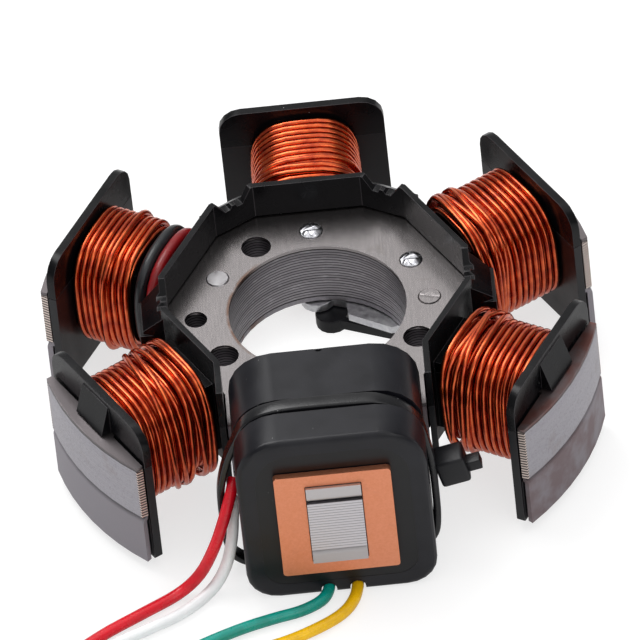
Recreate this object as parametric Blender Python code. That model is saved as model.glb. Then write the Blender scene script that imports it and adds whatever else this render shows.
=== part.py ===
"""Wound stator of a small flywheel magneto, in metres, +Z up, standing on its potted coil.

The bore axis is the Z axis. One straight tooth points to -Y and carries the potted
ignition coil. Five T-shaped poles carry open windings and stand every 60 degrees.
A pole's own frame has d outwards along the pole, t across it and z up.
"""

import math

import bmesh
import bpy
from mathutils import Matrix, Vector

MM = 0.001

# Driving sizes of the iron core
bore_radius = 15.5 * MM
lamination_count = 22
lamination_thickness = 0.5 * MM
top_plate_thickness = 0.8 * MM
bottom_plate_thickness = 1.1 * MM
pole_radius = 49.0 * MM
neck_width = 9.5 * MM
shoe_width = 28.7 * MM
shoe_end_thickness = 1.2 * MM
hanging_plate_depth = 9.3 * MM
sheet_bend_radius = 1.2 * MM
tooth_reach = 48.0 * MM
tooth_tab_rise = 2.7 * MM
tooth_tab_drop = 2.0 * MM
base_width = 34.4 * MM
base_reach = 26.6 * MM
mounting_hole_radius = 2.65 * MM
mounting_circle_radius = 19.5 * MM
locating_hole_radius = 2.0 * MM
locating_circle_radius = 21.2 * MM

# Driving sizes of the two insulating mouldings
collar_height = 7.2 * MM
collar_flat = 24.4 * MM
collar_wall = 1.1 * MM
yoke_overlap = 0.2 * MM
collar_corner = 21.0
collar_notch_width = 7.2 * MM
collar_notch_floor = 3.6 * MM
collar_notch_depth = 2.6 * MM
collar_nub_width = 1.5 * MM
collar_nub_rise = 0.7 * MM
lower_collar_depth = 3.6 * MM
roof_thickness = 1.0 * MM
neck_wall = 0.9 * MM
web_reach = 31.0 * MM
web_half_width = 4.3 * MM
buttress_drop = 1.0 * MM
buttress_spread = 1.0 * MM
buttress_nose = 0.6 * MM
flange_thickness = 1.5 * MM
flange_width = 29.0 * MM
flange_rise = 6.8 * MM
flange_corner_radius = 4.0 * MM
flange_foot_radius = 0.5 * MM
flange_sill = 0.2 * MM
seam_drop = 0.9 * MM
pad_inset = 1.4 * MM
boss_width = 8.0 * MM
boss_height = 5.6 * MM
boss_depth = 2.0 * MM
boss_top_depth = 0.2 * MM

# Driving sizes of the open windings
wire_diameter = 1.15 * MM
winding_pitch = 1.3 * MM
winding_depth = 3.55 * MM
winding_start = 27.2 * MM
winding_corner_radius = 0.5 * MM
link_inset = 1.0 * MM
link_spacing = 2.3 * MM
link_clearance = 0.35 * MM
link_slack = 1.6 * MM
link_corner_radius = 3.0 * MM

# Driving sizes of the potted ignition coil
case_width = 33.0 * MM
case_drop = 11.4 * MM
case_rise = 12.3 * MM
tooth_proud = 2.0 * MM
case_back = 23.3 * MM
case_wall = 3.2 * MM
case_back_wall = 1.6 * MM
case_top_radius = 8.0 * MM
case_bottom_radius = 5.5 * MM
case_edge_radius = 1.0 * MM
gate_mark_place = -0.3 * MM
gate_mark_radius = 0.9 * MM
tie_groove_setback = 9.2 * MM
tie_groove_width = 3.4 * MM
tie_groove_depth = 0.9 * MM
tie_groove_depth_below = 1.8 * MM
tie_groove_top_radius = 10.4 * MM
bobbin_wall = 1.0 * MM
copper_width = 20.2 * MM
copper_height = 23.1 * MM
copper_thickness = 1.3 * MM
copper_corner_radius = 0.6 * MM
resin_thickness = 1.2 * MM
resin_recess = 0.2 * MM
resin_clearance = 0.1 * MM

# Driving sizes of the small pieces
tie_width = 2.4 * MM
tie_thickness = 1.1 * MM
tie_head_width = 5.4 * MM
tie_head_depth = 5.2 * MM
tie_head_height = 5.8 * MM
tie_head_chamfer = 0.5 * MM
tie_head_out = 4.1 * MM
tie_head_back = 1.2 * MM
tie_head_level = 17.8 * MM
tie_head_tilt = 12.0
tie_tail_reach = 5.0 * MM
tie_tail_tilt = -4.0
rivet_shank_radius = 1.6 * MM
rivet_head_radius = 2.0 * MM
rivet_foot_radius = 2.2 * MM
rivet_flat_height = 0.15 * MM
rivet_dome_height = 0.6 * MM
rivet_foot_height = 0.9 * MM
rivet_chamfer = 0.15 * MM
bracket_thickness = 1.5 * MM
bracket_overhang = 3.4 * MM
bracket_lobe_radius = 3.1 * MM
bracket_lobe_setback = 2.0 * MM
clip_height = 2.6 * MM
clip_boss_radius = 2.9 * MM
clip_angle = 81.8
clip_inset = 0.75 * MM
clip_arm_drop = 0.6 * MM
lead_diameter = 2.1 * MM
connector_width = 13.0 * MM
connector_length = 20.0 * MM
connector_height = 11.0 * MM
socket_size = 4.0 * MM
terminal_thickness = 0.8 * MM
socket_web = 3.0 * MM
connector_corner_radius = 1.2 * MM
connector_reach = 62.9 * MM
connector_centre = -48.3 * MM
connector_pitch = 5.4 * MM
connector_rows = (3.4 * MM, 8.4 * MM)
lead_slot_places = (-2.6 * MM, 2.4 * MM)

# Clearances and fineness
gap = 0.3 * MM
sheet_gap = 0.15 * MM
overshoot = 1.0 * MM
touch = 0.01 * MM
arc_steps = 8
bore_steps = 48
hole_steps = 16
corner_steps = 4
bend_steps = 4
rivet_steps = 12
lead_steps = 2
winding_steps = 2

pole_names = {330: "front_right", 30: "back_right", 90: "back", 150: "back_left", 210: "front_left"}
ignition_angle = 270
flat_rivet_angles = (0, 150)
domed_rivet_angles = (30, 90)
mounting_hole_angles = (120, 210, 330)
locating_hole_angle = 180
linked_pole = 150

# Levels, measured up from the surface that the coil case stands on
core_bottom = case_drop
lamination_bottom = core_bottom + bottom_plate_thickness
lamination_top = lamination_bottom + lamination_count * lamination_thickness
core_top = lamination_top + top_plate_thickness
case_height = core_top + case_rise
case_face = tooth_reach - tooth_proud
tie_groove_place = case_face - tie_groove_setback
seam_level = core_top - seam_drop
roof_top = core_top + gap + roof_thickness
floor_bottom = core_bottom - gap - roof_thickness
collar_top = core_top + collar_height
flange_top = core_top + flange_rise
plate_bottom = core_bottom - hanging_plate_depth
flange_bottom = plate_bottom - flange_sill

# Places that follow from the sizes
shoe_back = math.sqrt(pole_radius**2 - (shoe_width / 2) ** 2) - shoe_end_thickness
yoke_flat = collar_flat + yoke_overlap
sleeve_half_width = neck_width / 2 + gap + neck_wall
flange_face = shoe_back - gap - flange_thickness
winding_end = flange_face - gap
link_place = winding_start + link_inset
short_winding_start = link_place + link_spacing + lead_diameter / 2 + link_clearance
corner_angle = math.radians(collar_corner)


def clear_scene():
    for thing in list(bpy.data.objects):
        bpy.data.objects.remove(thing, do_unlink=True)


def material(name, colour, roughness, metallic=0.0):
    made = bpy.data.materials.new(name)
    made.use_nodes = True
    shader = made.node_tree.nodes["Principled BSDF"]
    shader.inputs["Base Color"].default_value = (*colour, 1.0)
    shader.inputs["Roughness"].default_value = roughness
    shader.inputs["Metallic"].default_value = metallic
    return made


def face_outwards(shape):
    """Makes the faces agree and, by the sign of the volume, point out."""
    bmesh.ops.recalc_face_normals(shape, faces=shape.faces)
    if shape.calc_volume(signed=True) < 0:
        bmesh.ops.reverse_faces(shape, faces=shape.faces)


def from_bmesh(name, shape, finish=None):
    """A scene object from a bmesh, with its faces turned outwards."""
    face_outwards(shape)
    mesh = bpy.data.meshes.new(name)
    shape.to_mesh(mesh)
    shape.free()
    thing = bpy.data.objects.new(name, mesh)
    bpy.context.scene.collection.objects.link(thing)
    if finish is not None:
        mesh.materials.append(finish)
    return thing


def polar(angle, d, t=0.0):
    """The plan point at d along and t across the direction of an angle in degrees."""
    a = math.radians(angle)
    return (d * math.cos(a) - t * math.sin(a), d * math.sin(a) + t * math.cos(a))


def arc(centre, radius, start, end, steps):
    """Points of an arc in degrees, both ends included."""
    points = []
    for i in range(steps + 1):
        a = math.radians(start + (end - start) * i / steps)
        points.append((centre[0] + radius * math.cos(a), centre[1] + radius * math.sin(a)))
    return points


def prism(name, outline, low, high, finish=None):
    """A flat plate of the given plan outline between two levels."""
    shape = bmesh.new()
    corners = [shape.verts.new((x, y, low)) for x, y in outline]
    floor = shape.faces.new(corners)
    raised = bmesh.ops.extrude_face_region(shape, geom=[floor])
    moved = [v for v in raised["geom"] if isinstance(v, bmesh.types.BMVert)]
    bmesh.ops.translate(shape, vec=(0, 0, high - low), verts=moved)
    return from_bmesh(name, shape, finish)


def box(name, low, high, finish=None):
    (x0, y0, z0), (x1, y1, z1) = low, high
    return prism(name, [(x0, y0), (x1, y0), (x1, y1), (x0, y1)], z0, z1, finish)


def upright(name, outline, near, far, angle, finish=None):
    """A plate whose outline is in t and z and whose thickness runs along d."""
    thing = prism(name, outline, near, far, finish)
    turn = Matrix(((0, 0, 1, 0), (1, 0, 0, 0), (0, 1, 0, 0), (0, 0, 0, 1)))
    thing.data.transform(Matrix.Rotation(math.radians(angle), 4, "Z") @ turn)
    return thing


def rounded_outline(left, right, low, high, low_radius, high_radius, steps):
    """A rectangle whose two lower and two upper corners have radii of their own, which may be 0."""
    points = []
    corners = ((right, low, low_radius, -90), (right, high, high_radius, 0),
               (left, high, high_radius, 90), (left, low, low_radius, 180))
    for x, z, radius, start in corners:
        if radius == 0:
            points.append((x, z))
            continue
        centre = (x - radius if x == right else x + radius, z + radius if z == low else z - radius)
        points += arc(centre, radius, start, start + 90, steps)
    return points


def turned(name, profile, centre, steps, finish=None):
    """A solid of revolution about a vertical axis, from (radius, level) points."""
    shape = bmesh.new()
    points = [shape.verts.new((r, 0, z)) for r, z in profile]
    edges = [shape.edges.new(pair) for pair in zip(points, points[1:])]
    bmesh.ops.spin(shape, geom=points + edges, cent=(0, 0, 0), axis=(0, 0, 1),
                   angle=math.tau, steps=steps, use_merge=True)
    bmesh.ops.remove_doubles(shape, verts=shape.verts, dist=0.001 * MM)
    bmesh.ops.translate(shape, vec=(centre[0], centre[1], 0), verts=shape.verts)
    return from_bmesh(name, shape, finish)


def boolean(thing, others, operation):
    """Cuts or joins helpers into a thing, then removes the helpers."""
    for other in others:
        step = thing.modifiers.new("step", "BOOLEAN")
        step.operation = operation
        step.object = other
        step.solver = "EXACT"
    graph = bpy.context.evaluated_depsgraph_get()
    mesh = bpy.data.meshes.new_from_object(thing.evaluated_get(graph))
    thing.modifiers.clear()
    thing.data = mesh
    for other in others:
        bpy.data.objects.remove(other, do_unlink=True)
    return thing


def cut(thing, *cutters):
    return boolean(thing, cutters, "DIFFERENCE")


def join(thing, *others):
    return boolean(thing, others, "UNION")


def smooth_by_angle(thing, degrees=30):
    thing.data.shade_smooth()
    thing.data.set_sharp_from_angle(angle=math.radians(degrees))
    return thing


def collar_corners(flat, first, last):
    """Corners of the collar's twelve-sided plan, at its flats' distance, from pole to pole."""
    radius = flat / math.cos(corner_angle)
    points = []
    angle = first
    while angle <= last:
        points += [polar(angle - collar_corner, radius), polar(angle + collar_corner, radius)]
        angle += 60
    return points


def collar_run(flat, side):
    """The collar's plan line from its front right end, round the back, to its front left end."""
    right_end = [(side, -base_reach), (side, -front_corner(flat, side))]
    left_end = [(-x, y) for x, y in reversed(right_end)]
    around = collar_corners(flat, -30, 210)
    return right_end + around[1:-1] + left_end


def front_corner(flat, side):
    """How far forward a front pole's flat meets the collar's straight end at a given side."""
    a = math.radians(30)
    return (flat - side * math.cos(a)) / math.sin(a)


def star_outline(reach, neck_half, shoe_points, flat, base_half, base_front, tooth_half):
    """The core's plan: yoke, five poles and the straight tooth, going round once."""
    points = [(tooth_half, -reach), (tooth_half, -base_front), (base_half, -base_front)]
    points.append((base_half, -front_corner(flat, base_half)))
    for angle in (-30, 30, 90, 150, 210):
        if angle > -30:
            points.append(polar(angle - collar_corner, flat / math.cos(corner_angle)))
        points.append(polar(angle, flat, -neck_half))
        points += [polar(angle, d, t) for d, t in shoe_points]
        points.append(polar(angle, flat, neck_half))
        if angle < 210:
            points.append(polar(angle + collar_corner, flat / math.cos(corner_angle)))
    points.append((-base_half, -front_corner(flat, base_half)))
    points += [(-base_half, -base_front), (-tooth_half, -base_front), (-tooth_half, -reach)]
    return points


def shoe_outline():
    """Pole shoe in a pole's frame: flat back against the flange and an arc outside."""
    half = math.degrees(math.asin(shoe_width / 2 / pole_radius))
    face = arc((0, 0), pole_radius, -half, half, arc_steps)
    points = [(shoe_back, -neck_width / 2), (shoe_back, -shoe_width / 2)]
    return points + face + [(shoe_back, shoe_width / 2), (shoe_back, neck_width / 2)]


def core_outline(tooth_end):
    half = neck_width / 2
    return star_outline(tooth_end, half, shoe_outline(), yoke_flat, base_width / 2, base_reach, half)


def core_holes(low, high, rivet_hole_radius):
    """Cutters for the bore, the mounting and locating holes and the rivet holes."""
    low, high = low - overshoot, high + overshoot
    cutters = [turned_pin("bore_cutter", bore_radius, (0, 0), low, high, bore_steps)]
    for angle in mounting_hole_angles:
        place = polar(angle, mounting_circle_radius)
        cutters.append(turned_pin("hole_cutter", mounting_hole_radius, place, low, high, hole_steps))
    place = polar(locating_hole_angle, locating_circle_radius)
    cutters.append(turned_pin("hole_cutter", locating_hole_radius, place, low, high, hole_steps))
    for angle in flat_rivet_angles + domed_rivet_angles:
        place = polar(angle, mounting_circle_radius)
        cutters.append(turned_pin("hole_cutter", rivet_hole_radius, place, low, high, hole_steps))
    return cutters


def turned_pin(name, radius, centre, low, high, steps, finish=None):
    outline = arc(centre, radius, 0, 360 - 360 / steps, steps - 1)
    return prism(name, outline, low, high, finish)


def lamination_stack(finish):
    """The pack of punched sheets: yoke, pole necks, pole shoes and the straight tooth."""
    stack = prism("lamination_stack", core_outline(tooth_reach), lamination_bottom, lamination_top, finish)
    cut(stack, *core_holes(lamination_bottom, lamination_top, rivet_shank_radius + gap))
    return smooth_by_angle(stack)


def fold(plate, picked, path, radial):
    """Extrudes the picked end faces of a sheet through the pairs of outer and inner points."""
    shape = bmesh.new()
    shape.from_mesh(plate.data)

    def reach(v):
        return math.hypot(v.co.x, v.co.y) if radial else -v.co.y

    def near(v, point):
        return math.hypot(reach(v) - point[0], v.co.z - point[1])

    faces = [f for f in shape.faces if all(picked(v.co) for v in f.verts)]
    for before, after in zip(path, path[1:]):
        raised = bmesh.ops.extrude_face_region(shape, geom=faces)
        bmesh.ops.delete(shape, geom=faces, context="FACES")
        faces = [g for g in raised["geom"] if isinstance(g, bmesh.types.BMFace)]
        for v in {v for f in faces for v in f.verts}:
            side = 0 if near(v, before[0]) < near(v, before[1]) else 1
            stretch = after[side][0] / reach(v)
            v.co = (v.co.x * (stretch if radial else 1), v.co.y * stretch, after[side][1])
    face_outwards(shape)
    shape.to_mesh(plate.data)
    shape.free()


def fold_path(reach, outer_level, thickness, tip):
    """Pairs of outer and inner points of a sheet bent square towards a tip level, as reach and z."""
    way = 1 if tip > outer_level else -1
    outer, inner = sheet_bend_radius, sheet_bend_radius - thickness
    flat = reach - outer
    path = []
    for i in range(bend_steps + 1):
        a = math.radians(90 * i / bend_steps)
        path.append(((flat + outer * math.sin(a), outer_level + way * outer * (1 - math.cos(a))),
                     (flat + inner * math.sin(a), outer_level + way * (outer - inner * math.cos(a)))))
    path.append(((reach, tip), (reach - thickness, tip)))
    return path


def folded_tooth(plate, outer_level, thickness, tip):
    """Bends the sheet's end on the straight tooth up or down against the tooth's end."""
    flat = tooth_reach - sheet_bend_radius
    path = fold_path(tooth_reach, outer_level, thickness, tip)
    fold(plate, lambda co: co.y < -flat + touch, path, False)


def sheet_outline(shoe_face, shoe_inset):
    """Plan of an end plate before its ends are bent."""
    half = neck_width / 2
    turn = math.degrees(math.asin((shoe_width / 2 - shoe_inset) / shoe_face))
    back = min(shoe_back, shoe_face * math.cos(math.radians(turn)) - gap / 3)
    shoe = [(back, -half), (back, -shoe_width / 2 + shoe_inset)]
    shoe += arc((0, 0), shoe_face, -turn, turn, arc_steps)
    shoe += [(back, shoe_width / 2 - shoe_inset), (back, half)]
    flat = tooth_reach - sheet_bend_radius
    return star_outline(flat, half, shoe, yoke_flat, base_width / 2, base_reach, half)


def top_end_plate(finish):
    """Thicker sheet on top of the pack, with a tab bent up at the end of the tooth."""
    low = lamination_top + sheet_gap
    plate = prism("top_end_plate", sheet_outline(pole_radius, 0.0), low, core_top, finish)
    folded_tooth(plate, low, core_top - low, core_top + tooth_tab_rise)
    cut(plate, *core_holes(low, core_top, rivet_head_radius + gap))
    return smooth_by_angle(plate)


def bottom_end_plate(finish):
    """Sheet under the pack, bent down at each pole and at the end of the tooth."""
    high = lamination_bottom - sheet_gap
    thickness = high - core_bottom
    flat = pole_radius - sheet_bend_radius
    outline = sheet_outline(flat, sheet_bend_radius / 4)
    plate = prism("bottom_end_plate", outline, core_bottom, high, finish)
    for angle in pole_names:
        a = math.radians(angle)
        along = Vector((math.cos(a), math.sin(a), 0))
        path = fold_path(pole_radius, high, thickness, plate_bottom)

        def picked(co):
            return co.dot(along) > flange_face and abs(math.hypot(co.x, co.y) - flat) < touch

        fold(plate, picked, path, True)
    folded_tooth(plate, high, thickness, core_bottom - tooth_tab_drop)
    cut(plate, *core_holes(core_bottom, high, rivet_head_radius + gap))
    return smooth_by_angle(plate)


def sleeve_outline(angle, near, far, half_width):
    return [polar(angle, near, -half_width), polar(angle, far, -half_width),
            polar(angle, far, half_width), polar(angle, near, half_width)]


def flange_plate(angle, low, high, low_radius, high_radius):
    """Outer cheek of one pole's bobbin half."""
    half = flange_width / 2
    outline = rounded_outline(-half, half, low, high, low_radius, high_radius, corner_steps)
    return upright("flange", outline, flange_face, flange_face + flange_thickness, angle)


def flange_boss(angle):
    """Wedge on the outside of the upper cheek: deep at its foot, nearly nothing at its top."""
    face = flange_face + flange_thickness
    foot = core_top + gap
    rooted = face - flange_thickness / 2
    section = [(rooted, foot), (face + boss_depth, foot), (face + boss_top_depth, foot + boss_height),
               (rooted, foot + boss_height)]
    boss = prism("boss", section, -boss_width / 2, boss_width / 2)
    turn = Matrix(((1, 0, 0, 0), (0, 0, 1, 0), (0, 1, 0, 0), (0, 0, 0, 1)))
    boss.data.transform(Matrix.Rotation(math.radians(angle), 4, "Z") @ turn)
    boss.data.flip_normals()
    return boss


def skirt_pad(angle):
    """Thick back of a lower cheek, filling the space behind the bent-down plate."""
    radius = pole_radius - pad_inset
    half = shoe_width / 2 - gap
    turn = math.degrees(math.asin(half / radius))
    near = flange_face + flange_thickness / 2
    outline = [(near, -half)] + arc((0, 0), radius, -turn, turn, arc_steps) + [(near, half)]
    outline = [polar(angle, d, t) for d, t in outline]
    return prism("pad", outline, flange_bottom + flange_foot_radius, core_bottom - gap)


def collar_outline(inner_flat, wall, inner_side):
    """The collar's plan, a band open at the front."""
    outer = collar_run(inner_flat + wall, inner_side + wall)
    inner = collar_run(inner_flat, inner_side)
    return outer + list(reversed(inner))


def neck_window(low, high):
    """Cutter for the iron inside a moulding, one clearance larger all round."""
    half = neck_width / 2 + gap
    outline = star_outline(case_face + overshoot, half, neck_slot(), yoke_flat + gap,
                           base_width / 2 + gap, base_reach + overshoot, half)
    return prism("iron_cutter", outline, low, high)


def neck_slot():
    half = neck_width / 2 + gap
    far = flange_face + flange_thickness + overshoot
    return [(far, -half), (far, half)]


def web_outline():
    """Plan of a moulding's floor: the collar's foot, a sleeve on each neck and the webs between."""
    flat = collar_flat + collar_wall
    radius = flat / math.cos(corner_angle)
    side = base_width / 2 + gap + collar_wall
    far = flange_face + flange_thickness / 2
    points = [(side, -base_reach), (side, -front_corner(flat, side))]
    for angle in (-30, 30, 90, 150, 210):
        if angle > -30:
            points.append(polar(angle - 30, web_reach, web_half_width))
            points.append(polar(angle - collar_corner, radius))
        points.append(polar(angle, flat, -sleeve_half_width))
        points.append(polar(angle, far, -sleeve_half_width))
        points.append(polar(angle, far, sleeve_half_width))
        points.append(polar(angle, flat, sleeve_half_width))
        if angle < 210:
            points.append(polar(angle + collar_corner, radius))
            points.append(polar(angle + 30, web_reach, -web_half_width))
    points += [(-side, -front_corner(flat, side)), (-side, -base_reach)]
    return points


def collar_hollow(low, high):
    """Cutter for the space inside the collar, open to the front between its straight ends."""
    line = collar_run(collar_flat, base_width / 2 + gap)
    line[0] = (line[0][0], -case_face)
    line[-1] = (line[-1][0], -case_face)
    return prism("hollow_cutter", line, low, high)


def buttress(angle):
    """Sloping panel from the collar's rim down to the end of one web."""
    flat = collar_flat + collar_wall
    radius = flat / math.cos(corner_angle)
    inside = collar_wall / 2
    low, high = seam_level + gap, collar_top - buttress_drop
    points = []
    for side in (-1, 1):
        corner = Vector(polar(angle + side * (30 - collar_corner), radius))
        along = Vector(polar(angle + side * 30, flat)) - corner
        start = corner + along.normalized() * buttress_spread
        x, y = start * (1 - inside / start.length)
        points += [(x, y, low), (x, y, high)]
        x, y = polar(angle, web_reach - inside, side * (web_half_width - inside))
        points += [(x, y, low), (x, y, roof_top + buttress_nose)]
    shape = bmesh.new()
    made = bmesh.ops.convex_hull(shape, input=[shape.verts.new(p) for p in points])
    bmesh.ops.delete(shape, geom=made["geom_interior"] + made["geom_unused"], context="VERTS")
    return from_bmesh("buttress", shape)


def corner_notches():
    """Cutters for the sloped dips in the collar's edge between poles, with a small nub in each."""
    top, floor, nub = collar_notch_width / 2, collar_notch_floor / 2, collar_nub_width / 2
    low = collar_top - collar_notch_depth
    crest = low + collar_nub_rise
    right = [(nub / 2, crest), (nub, low), (floor, low), (top, collar_top), (top, collar_top + overshoot)]
    outline = [(-t, z) for t, z in reversed(right)] + right
    cutters = []
    for angle in (0, 60, 120, 180):
        cutters.append(upright("notch_cutter", outline, bore_radius, web_reach + overshoot, angle))
    return cutters


def upper_insulator(finish):
    """Upper moulding: collar, roofs over the necks, webs and the upper halves of the cheeks."""
    side = base_width / 2 + gap
    moulding = prism("upper_insulator", web_outline(), seam_level, roof_top, finish)
    plan = collar_outline(collar_flat, collar_wall, side)
    join(moulding, prism("collar", plan, seam_level + gap, collar_top))
    for angle in (0, 60, 120, 180):
        join(moulding, buttress(angle))
    for angle in pole_names:
        join(moulding, flange_plate(angle, seam_level, flange_top, 0, flange_corner_radius))
    cut(moulding, neck_window(seam_level - overshoot, core_top + gap),
        collar_hollow(core_top + gap / 2, roof_top + overshoot))
    for angle in pole_names:
        join(moulding, flange_boss(angle))
    cut(moulding, *corner_notches())
    return smooth_by_angle(moulding)


def lower_insulator(finish):
    """Lower moulding: floors under the necks, a shallow collar and the long lower cheeks."""
    side = base_width / 2 + gap
    high = seam_level - gap / 3
    low = core_bottom - lower_collar_depth
    moulding = prism("lower_insulator", web_outline(), floor_bottom, high, finish)
    plan = collar_outline(collar_flat, collar_wall, side)
    join(moulding, prism("collar", plan, low, high - gap))
    for angle in pole_names:
        cheek = flange_plate(angle, flange_bottom, high, flange_foot_radius, 0)
        join(moulding, cheek, skirt_pad(angle))
    cut(moulding, neck_window(core_bottom - gap, high + overshoot),
        collar_hollow(floor_bottom - overshoot, core_bottom - gap / 2))
    return smooth_by_angle(moulding)


def winding(name, angle, start, finish):
    """One pole's coil: a closed ring round the sleeve whose outside is a row of turns."""
    half = sleeve_half_width + gap
    low = floor_bottom - gap
    high = roof_top + gap
    radius = winding_corner_radius
    path = rounded_outline(-half, half, low, high, radius, radius, winding_steps)
    middle = Vector((0, (low + high) / 2))
    core = Vector((half - radius, (high - low) / 2 - radius))
    turns = round((winding_end - start) / winding_pitch)
    pitch = (winding_end - start) / turns
    groove = 0.42 * wire_diameter
    section = [(start, 0.0)]
    for i in range(turns):
        place = start + i * pitch
        section += [(place, winding_depth - groove), (place + pitch / 2, winding_depth)]
    section += [(winding_end, winding_depth - groove), (winding_end, 0.0)]
    shape = bmesh.new()
    rings = []
    for t, z in path:
        away = Vector((t, z)) - middle
        held = Vector((max(-core.x, min(core.x, away.x)), max(-core.y, min(core.y, away.y))))
        normal = (away - held).normalized()
        ring = []
        for d, offset in section:
            x, y = polar(angle, d, t + normal.x * offset)
            ring.append(shape.verts.new((x, y, z + normal.y * offset)))
        rings.append(ring)
    for ring, following in zip(rings, rings[1:] + rings[:1]):
        for i in range(len(section)):
            j = (i + 1) % len(section)
            shape.faces.new((ring[i], ring[j], following[j], following[i]))
    return smooth_by_angle(from_bmesh(name, shape, finish), 80)


def case_outline(inset=0.0, extra_below=0.0, top_radius=case_top_radius):
    """The potted coil's front view, drawn in by an inset."""
    half = case_width / 2 - inset
    low = inset + extra_below
    high = case_height - inset
    return rounded_outline(-half, half, low, high, case_bottom_radius - inset / 2,
                           top_radius - inset / 2, corner_steps + 1)


def pole_window(near, far, margin):
    """Cutter for the tooth's opening through a piece on it."""
    half = neck_width / 2 + margin
    return box("window_cutter", (-half, -far, core_bottom - margin), (half, -near, core_top + margin))


def coil_case(finish):
    """Moulded cup round the ignition coil, astride the core's front base."""
    case = upright("coil_case", case_outline(), case_back, case_face, ignition_angle, finish)
    shape = bmesh.new()
    shape.from_mesh(case.data)
    rim = [e for e in shape.edges if all(abs(v.co.y + case_face) < touch for v in e.verts)]
    bmesh.ops.bevel(shape, geom=rim, offset=case_edge_radius, segments=3, profile=0.5, affect="EDGES")
    shape.to_mesh(case.data)
    shape.free()
    wide = case_width
    straddle = box("straddle_cutter", (-wide, -base_reach - gap, core_bottom - gap),
                   (wide, -case_back + overshoot, core_top + gap))
    cavity = upright("cavity_cutter", case_outline(case_wall), base_reach + gap + case_back_wall,
                     case_face + overshoot, ignition_angle)
    mark = turned_pin("mark_cutter", gate_mark_radius, (gate_mark_place, -case_back),
                      case_height - gate_mark_radius, case_height + overshoot, 2 * corner_steps)
    cut(case, straddle, cavity, pole_window(bore_radius, case_face, gap), tie_groove(), mark, *lead_slots())
    return smooth_by_angle(case)


def tie_groove():
    """Cutter for the groove that the cable tie lies in, deeper under the case."""
    near = tie_groove_place - tie_groove_width / 2
    far = tie_groove_place + tie_groove_width / 2
    outside = [(-case_width, -case_width), (case_width, -case_width),
               (case_width, 2 * case_width), (-case_width, 2 * case_width)]
    ring = upright("groove_cutter", outside, near, far, ignition_angle)
    extra = tie_groove_depth_below - tie_groove_depth
    outline = case_outline(tie_groove_depth, extra, tie_groove_top_radius)
    return cut(ring, upright("kept", outline, near - overshoot, far + overshoot, ignition_angle))


def lead_slots():
    """Cutters for the slots under the case's front that the potted coil's own leads leave by."""
    cutters = []
    near = tie_groove_place + tie_groove_width / 2 + gap
    for x in lead_slot_places:
        half = lead_diameter / 2 + gap
        outline = [(x - half, -overshoot), (x + half, -overshoot)]
        outline += arc((x, lead_diameter / 2), half, 0, 180, 2 * corner_steps)
        cutters.append(upright("slot_cutter", outline, near, case_face + overshoot, ignition_angle))
    return cutters


def coil_bobbin(finish):
    """Former of the ignition coil: a square tube on the tooth with a cheek at each end."""
    near = base_reach + gap + case_back_wall + gap
    far = case_face - resin_thickness - 2 * gap
    half = neck_width / 2 + gap + bobbin_wall
    low = core_bottom - gap - bobbin_wall
    high = core_top + gap + bobbin_wall
    tube = upright("coil_bobbin", [(-half, low), (half, low), (half, high), (-half, high)],
                   near, far, ignition_angle, finish)
    for start in (near, far - bobbin_wall):
        outline = case_outline(case_wall + gap)
        join(tube, upright("cheek", outline, start, start + bobbin_wall, ignition_angle))
    cut(tube, pole_window(near - overshoot, far + overshoot, gap))
    return smooth_by_angle(tube)


def ignition_winding(finish):
    """The many fine turns of the ignition coil, as one wound ring inside the case."""
    near = base_reach + gap + case_back_wall + gap + bobbin_wall + gap
    far = case_face - resin_thickness - 2 * gap - bobbin_wall - gap
    outline = case_outline(case_wall + 2 * gap)
    ring = upright("ignition_winding", outline, near, far, ignition_angle, finish)
    cut(ring, pole_window(near - overshoot, far + overshoot, bobbin_wall + 2 * gap))
    return smooth_by_angle(ring)


def potting_resin(finish):
    """Cast resin that closes the front of the case."""
    far = case_face - resin_recess
    outline = case_outline(case_wall + resin_clearance)
    plug = upright("potting_resin", outline, far - resin_thickness, far, ignition_angle, finish)
    cut(plug, pole_window(case_back, case_face + overshoot, gap))
    return smooth_by_angle(plug)


def copper_plate(finish):
    """Copper damping plate on the face of the potted coil, held by the tooth's tabs."""
    middle = (lamination_top + lamination_bottom) / 2
    low, high = middle - copper_height / 2, middle + copper_height / 2
    back = case_face + gap / 3
    half = copper_width / 2
    corner = copper_corner_radius
    outline = rounded_outline(-half, half, low, high, corner, corner, corner_steps - 1)
    plate = upright("copper_plate", outline, back, back + copper_thickness, ignition_angle, finish)
    side = neck_width / 2 + gap
    window = box("window_cutter",
                 (-side, -tooth_reach - overshoot, core_bottom - tooth_tab_drop - gap),
                 (side, -case_back, core_top + tooth_tab_rise + gap))
    return smooth_by_angle(cut(plate, window))


# Middle line of the cable tie's strap in the case's front view, in millimetres: how far it stands
# outside the case's side, with its drop from the case's top or its rise from the case's foot
tie_left_above = ((-8.9, 0.15), (-3.2, 2.4), (-0.5, 7.0), (1.4, 11.6), (2.85, 17.6))
tie_left_below = ((3.1, 13.0), (2.9, 7.0), (1.7, 3.0), (-1.3, 1.0), (-6.5, 0.8))
tie_right_below = ((-6.5, 0.8), (-2.3, 1.2), (0.0, 3.8), (0.7, 8.0), (0.8, 14.0))
tie_right_above = ((0.7, 16.6), (0.1, 11.6), (-0.9, 6.7), (-3.25, 3.2), (-6.75, 0.95), (-10.9, 0.15))


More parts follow.
